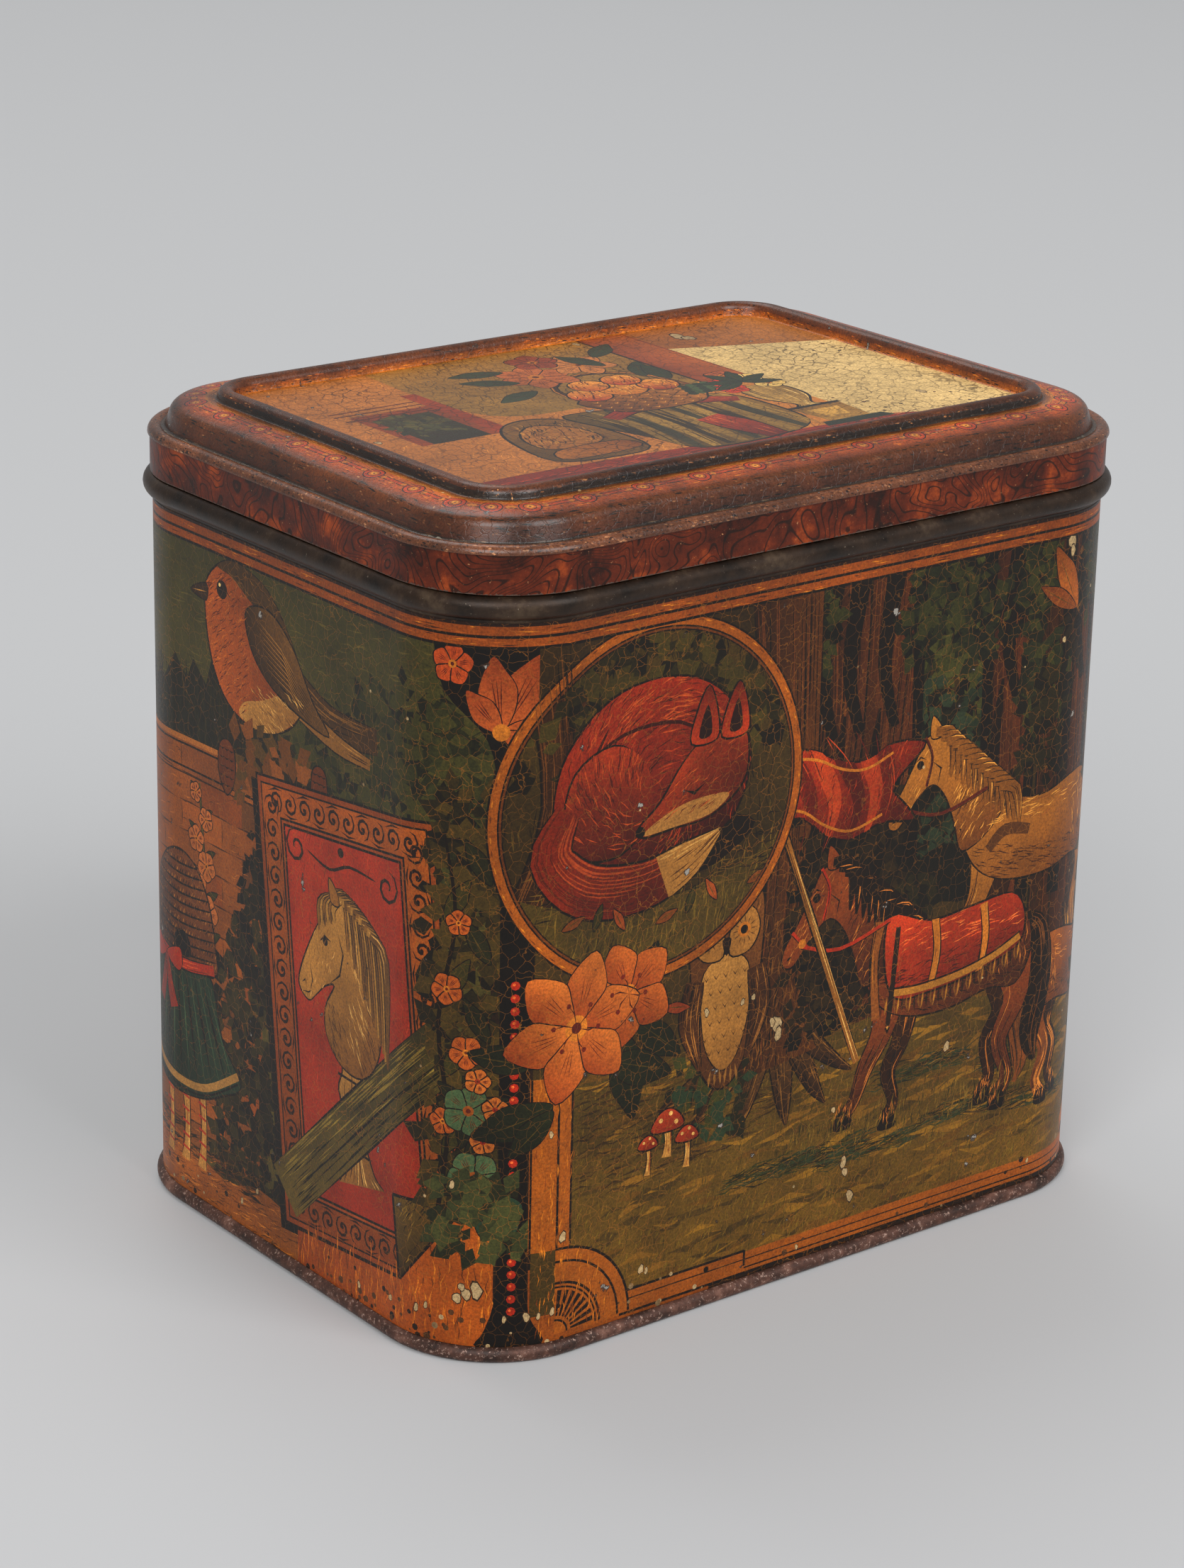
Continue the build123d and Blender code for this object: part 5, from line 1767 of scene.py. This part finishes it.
for k in range(16):
    p.disc(13 + 1.7 * (k % 4) - 0.5 * (k // 4), 2 - 1.6 * (k // 4), 1.05, ("#2f4038", "#48604f")[k % 2])
p.flower(-5, 22, 7.6, 6, "#b07048", PALE_GOLD, turn=10, point=0.5)
p.flower(7, 25, 6.6, 6, "#c08a5c", PALE_GOLD, turn=30, point=0.5)
p.flower(1, 31, 5, 5, "#8e4a30", PALE_GOLD, turn=0, point=0.3)
for angle, u, v in (
    (60, 12, 12), (80, 15, 8), (110, 11, 22), (150, -10, 20), (170, -8, 28), (40, 13, 28), (200, -11, 14)
):
    p.leaf(u, v, angle, 11, "#3a4a3c", 0.4)
p.limb(
    [(24, -4), (24, -8), (24, -14), (23.6, -19), (23.6, -21)], [7, 10, 9, 3.6, 8], ("#c8b07c", "#8a7448", 0),
    22, (UMBER, "#ecdcb0"), 0.5)
for k, (u, v) in enumerate(((21, 0), (26.6, 1), (24, 4.6), (19.6, -4), (28, -4))):
    p.flower(u, v, 3.2, 5, ("#c04a30", "#e0cf98", "#b06a48")[k % 3], PALE_GOLD, turn=30 * k, point=0.1)
for angle in (20, 70, 110, 160, 200, 340):
    p.leaf(24, -1, angle, 8, "#30443a", 0.36)
p.fill([(18.4, -21), (29.6, -21), (28.6, -31), (19.6, -31)], ("#a88e58", "#8a7040", 90))
p.fill([(20.4, -23.4), (27.4, -23.4), (26, -28.6), (21.6, -28.6)], "#c8ac6c")
p.rule([(18, -21), (30, -21)], 1.1, BLACK)
p.fill([(17.6, -31), (31, -31), (32.4, -33.6), (16.8, -33.6)], "#2c3a32")
for k in range(26):
    p.disc(
        p.chance.uniform(30, 57), p.chance.uniform(-36, 20), p.chance.uniform(0.15, 0.5),
        p.chance.choice([UMBER, "#5c3c20"]), sides=6)
for x, z, size in ((36.6, 32.6, 1.6), (37.4, 30.6, 1.2), (47, -24, 0.8), (-55, 0, 0.6), (16.5, 38, 0.7)):
    chip(p, x, z, size)


def on_field(x, y, depth):
    """A point of the sunk field, which faces up."""
    return Vector((x, y, field_height + depth)), Vector((0, 0, 1))


inner_radius = corner_radius - field_inset
field_ground = []
for turn, (x, y) in enumerate(corner_centres):
    for k in range(9):
        a = radians(180 + 90 * turn + 11.25 * k)
        field_ground.append(spoke(x, y, inner_radius, a))
# The sunk field kept a thick varnish, which has crazed into dark cells 2 to 3 mm across
field_paint = lithographed_tinplate(
    "crazed_gilt_tinplate_lid_field", 1.35, 2.7, "#2a180d", 0.95, 0.065, 0.5, 0.3, 0.3)
print_sheet(
    "lid_picture", field_picture, (-edge_x, -edge_y), (edge_x, edge_y), [], on_field, "lid",
    field_paint, field_ground)


# ---------------------------------------------------------------------------------------------
# The plain metal: the bead and neck of the wall, the rolled foot, the lid's skirt, and the bare
# tinplate and iron inside, each worn as it would be by a century of hands and shelves.

def outset_from_wall(tree, place_on):
    """How far a point is outside the wall's outer face, in metres, so a finish can tell its faces apart."""
    parts = add(tree, "SeparateXYZ", {"Vector": place_on})
    squares = []
    for axis, middle in (("X", corner_x), ("Y", corner_y)):
        far = add(tree, "Math", {0: parts.outputs[axis]}, operation="ABSOLUTE")
        past = add(tree, "Math", {0: far, 1: middle * MM}, operation="SUBTRACT")
        past = add(tree, "Math", {0: past, 1: 0.0}, operation="MAXIMUM")
        squares.append(add(tree, "Math", {0: past, 1: 2.0}, operation="POWER"))
    total = add(tree, "Math", {0: squares[0], 1: squares[1]}, operation="ADD")
    reach = add(tree, "Math", {0: total, 1: 0.5}, operation="POWER")
    return add(tree, "Math", {0: reach, 1: corner_radius * MM}, operation="SUBTRACT")


def mottled_metal(
    name, tones, scale, metallic, rough, speck="#b4a496", speck_from=0.66, lines=0.0, worn=None, bare=None
):
    """A browned and rubbed tinplate: three tones in clouds, fine rubs and pits, and an even dull sheen.

    Lines draws knots in it, worn is a bare lower edge, and bare is where the plain tin inside begins."""
    material, tree, place_on = new_material(name)
    dark, middle, light = [linear(tone) for tone in tones]
    cloud = add(tree, "TexNoise", {"Vector": place_on, "Scale": scale, "Detail": 8.0, "Roughness": 0.68})
    first = add(tree, "MapRange", {"Value": cloud, "From Min": 0.36, "From Max": 0.54})
    second = add(tree, "MapRange", {"Value": cloud, "From Min": 0.54, "From Max": 0.68})
    tone = add(tree, "Mix", {0: first, 6: dark, 7: middle}, data_type="RGBA")
    tone = add(tree, "Mix", {0: second, 6: tone, 7: light}, data_type="RGBA")
    if lines:
        swirl = add(tree, "TexNoise", {"Vector": place_on, "Scale": 75.0, "Detail": 1.0, "Distortion": 0.6})
        rings = add(tree, "Math", {0: swirl, 1: 20.0}, operation="MULTIPLY")
        saw = add(tree, "Math", {0: rings, 1: 0.5}, operation="PINGPONG")
        line = add(
            tree, "MapRange",
            {"Value": saw, "From Min": 0.05, "From Max": 0.13, "To Min": lines, "To Max": 0.0})
        tone = add(tree, "Mix", {0: line, 6: tone, 7: linear("#1d100a")}, data_type="RGBA")
    fine = add(tree, "TexNoise", {"Vector": place_on, "Scale": 1500.0, "Detail": 4.0, "Roughness": 0.75})
    rub = add(
        tree, "MapRange", {"Value": fine, "From Min": speck_from - 0.05, "From Max": speck_from + 0.03})
    colour = add(tree, "Mix", {0: rub, 6: tone, 7: linear(speck)}, data_type="RGBA")
    metal = metallic
    if worn:
        height, depth, ink = worn
        parts = add(tree, "SeparateXYZ", {"Vector": place_on})
        ragged = add(
            tree, "Math", {0: fine, 1: depth * 2.2, 2: height - depth * 0.9}, operation="MULTIPLY_ADD")
        edge = add(tree, "Math", {0: parts.outputs["Z"], 1: ragged}, operation="LESS_THAN")
        colour = add(tree, "Mix", {0: edge, 6: colour, 7: linear(ink)}, data_type="RGBA")
    if bare:
        low, high = bare
        parts = add(tree, "SeparateXYZ", {"Vector": place_on})
        begins = add(
            tree, "MapRange",
            {
                "Value": parts.outputs["Z"], "From Min": 0.136, "From Max": 0.1366, "To Min": low * MM,
                "To Max": high * MM})
        inside = add(tree, "Math", {0: outset_from_wall(tree, place_on), 1: begins}, operation="LESS_THAN")
        tin = add(tree, "Mix", {0: first, 6: linear("#77706a"), 7: linear("#a8a29a")}, data_type="RGBA")
        colour = add(tree, "Mix", {0: inside, 6: colour, 7: tin}, data_type="RGBA")
        metal = add(tree, "MapRange", {"Value": inside, "To Min": metallic, "To Max": 0.85})
    pit = add(
        tree, "MapRange", {"Value": fine, "From Min": 0.3, "From Max": 0.38, "To Min": 0.35, "To Max": 1.0})
    pitted = add(tree, "VectorMath", {0: colour, "Scale": pit}, operation="SCALE")
    roughness = add(
        tree, "MapRange",
        {"Value": cloud, "From Min": 0.3, "From Max": 0.7, "To Min": rough, "To Max": rough + 0.22})
    bump = add(tree, "Bump", {"Height": fine, "Strength": 0.5, "Distance": 0.00008})
    sockets = {"Base Color": pitted, "Metallic": metal, "Roughness": roughness, "Normal": bump}
    if metallic == 0:
        sockets["Specular IOR Level"] = 0.22
    finish_material(tree, sockets)
    return material


# Red japan grained like walnut and stoved: dark knots under a dull shine, its rubbed edge brown metal
skirt_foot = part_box("lid_skirt")[0].z
japan = mottled_metal(
    "grained_red_japan_on_tinplate", ("#2b1008", "#642510", "#a8481a"), 130.0, 0.0, 0.28, "#c88a5c", 0.7,
    lines=0.85, worn=(skirt_foot, 0.0006, "#5a463c"), bare=(0.3, 0.3))
dress("lid_skirt", japan)

# Browned tinplate where fingers have rubbed the bead: almost black, with a soft metal shine
browned = mottled_metal(
    "browned_bead_of_tinplate", ("#1f1711", "#3a2a1e", "#5c4a38"), 110.0, 0.55, 0.3, "#9a8a78", 0.7,
    bare=(-0.15, -0.55))
dress("body_wall", browned)

# Rusted and rubbed tinplate: matt red-brown, with bright specks where it stands on shelves
rubbed = mottled_metal(
    "rubbed_rusty_foot_of_tinplate", ("#33211a", "#5c3c30", "#8a6252"), 260.0, 0.35, 0.42, "#b49484", 0.62,
    bare=(-1.9, -1.9))
dress("bottom_end", rubbed)

# Plain tinplate gone grey: cloudy dull mirrors with brown freckles
underside = mottled_metal(
    "dull_underside_of_tinplate", ("#6e665a", "#8e8678", "#aaa294"), 60.0, 0.85, 0.3, "#4a3a2c", 0.7)
dress("lid_panel", underside)
bare_tin = mottled_metal(
    "dull_bare_tinplate", ("#5a544c", "#86807a", "#a6a09a"), 70.0, 0.9, 0.34, "#4a3828", 0.68)
for name in ("side_seam", "hinge_leaf", "skirt_lap", "hinge_strap_left", "hinge_strap_right"):
    dress(name, bare_tin)

# Iron wire with a skin of rust: dark and rough, hardly shining
iron = mottled_metal(
    "rusted_iron_wire", ("#2a1d17", "#4a362b", "#6d5848"), 320.0, 0.7, 0.45, "#8a6a50", 0.62)
for name in ("neck_wire", "hinge_wire"):
    dress(name, iron)


# ---------------------------------------------------------------------------------------------
# Floor, light and camera.
bpy.context.scene.view_settings.view_transform = "Standard"
world = bpy.data.worlds.new("studio")
bpy.context.scene.world = world
world.use_nodes = True
world.node_tree.nodes["Background"].inputs["Color"].default_value = linear("#d6d6d7")
world.node_tree.nodes["Background"].inputs["Strength"].default_value = 0.55

bm = bmesh.new()
bmesh.ops.create_grid(bm, x_segments=1, y_segments=1, size=4.0)
floor_mesh = bpy.data.meshes.new("floor")
bm.to_mesh(floor_mesh)
bm.free()
floor = bpy.data.objects.new("floor", floor_mesh)
bpy.context.scene.collection.objects.link(floor)
# Seamless paper: pale, even and matt
paper, tree, place_on = new_material("seamless_paper")
finish_material(tree, {"Base Color": linear("#cccdce"), "Roughness": 0.9, "Specular IOR Level": 0.2})
floor.data.materials.append(paper)


def softbox(name, place, size, watts):
    """A square lamp that faces the tin."""
    light = bpy.data.lights.new(name, "AREA")
    light.shape = "SQUARE"
    light.size = size
    light.energy = watts
    lamp = bpy.data.objects.new(name, light)
    lamp.location = place
    lamp.rotation_euler = (Vector((0, 0, 0.07)) - Vector(place)).to_track_quat("-Z", "Y").to_euler()
    bpy.context.scene.collection.objects.link(lamp)


softbox("back_softbox", (0.3, 1.5, 2.6), 1.8, 20)
softbox("left_softbox", (-2.3, -1.9, 2.3), 2.0, 58)
softbox("right_softbox", (0.6, -2.7, 2.2), 2.0, 50)

azimuth, elevation, roll = radians(38.181), radians(19.654), radians(1.242)
towards = Vector((-sin(azimuth) * cos(elevation), -cos(azimuth) * cos(elevation), sin(elevation)))
right = (-towards).cross(Vector((0, 0, 1))).normalized()
up = right.cross(-towards)
stand_at = Vector((0, 0, 0.07)) + right * -0.005782 + up * 0.00572 + towards * 0.749054
rolled_right = right * cos(roll) + up * sin(roll)
rolled_up = -right * sin(roll) + up * cos(roll)
lens = bpy.data.cameras.new("camera")
lens.sensor_fit = "VERTICAL"
lens.sensor_height = 36
lens.lens = 93.69
camera = bpy.data.objects.new("camera", lens)
camera.matrix_world = Matrix.Translation(stand_at) @ Matrix((
    rolled_right, rolled_up, towards)).transposed().to_4x4()
bpy.context.scene.collection.objects.link(camera)
bpy.context.scene.camera = camera
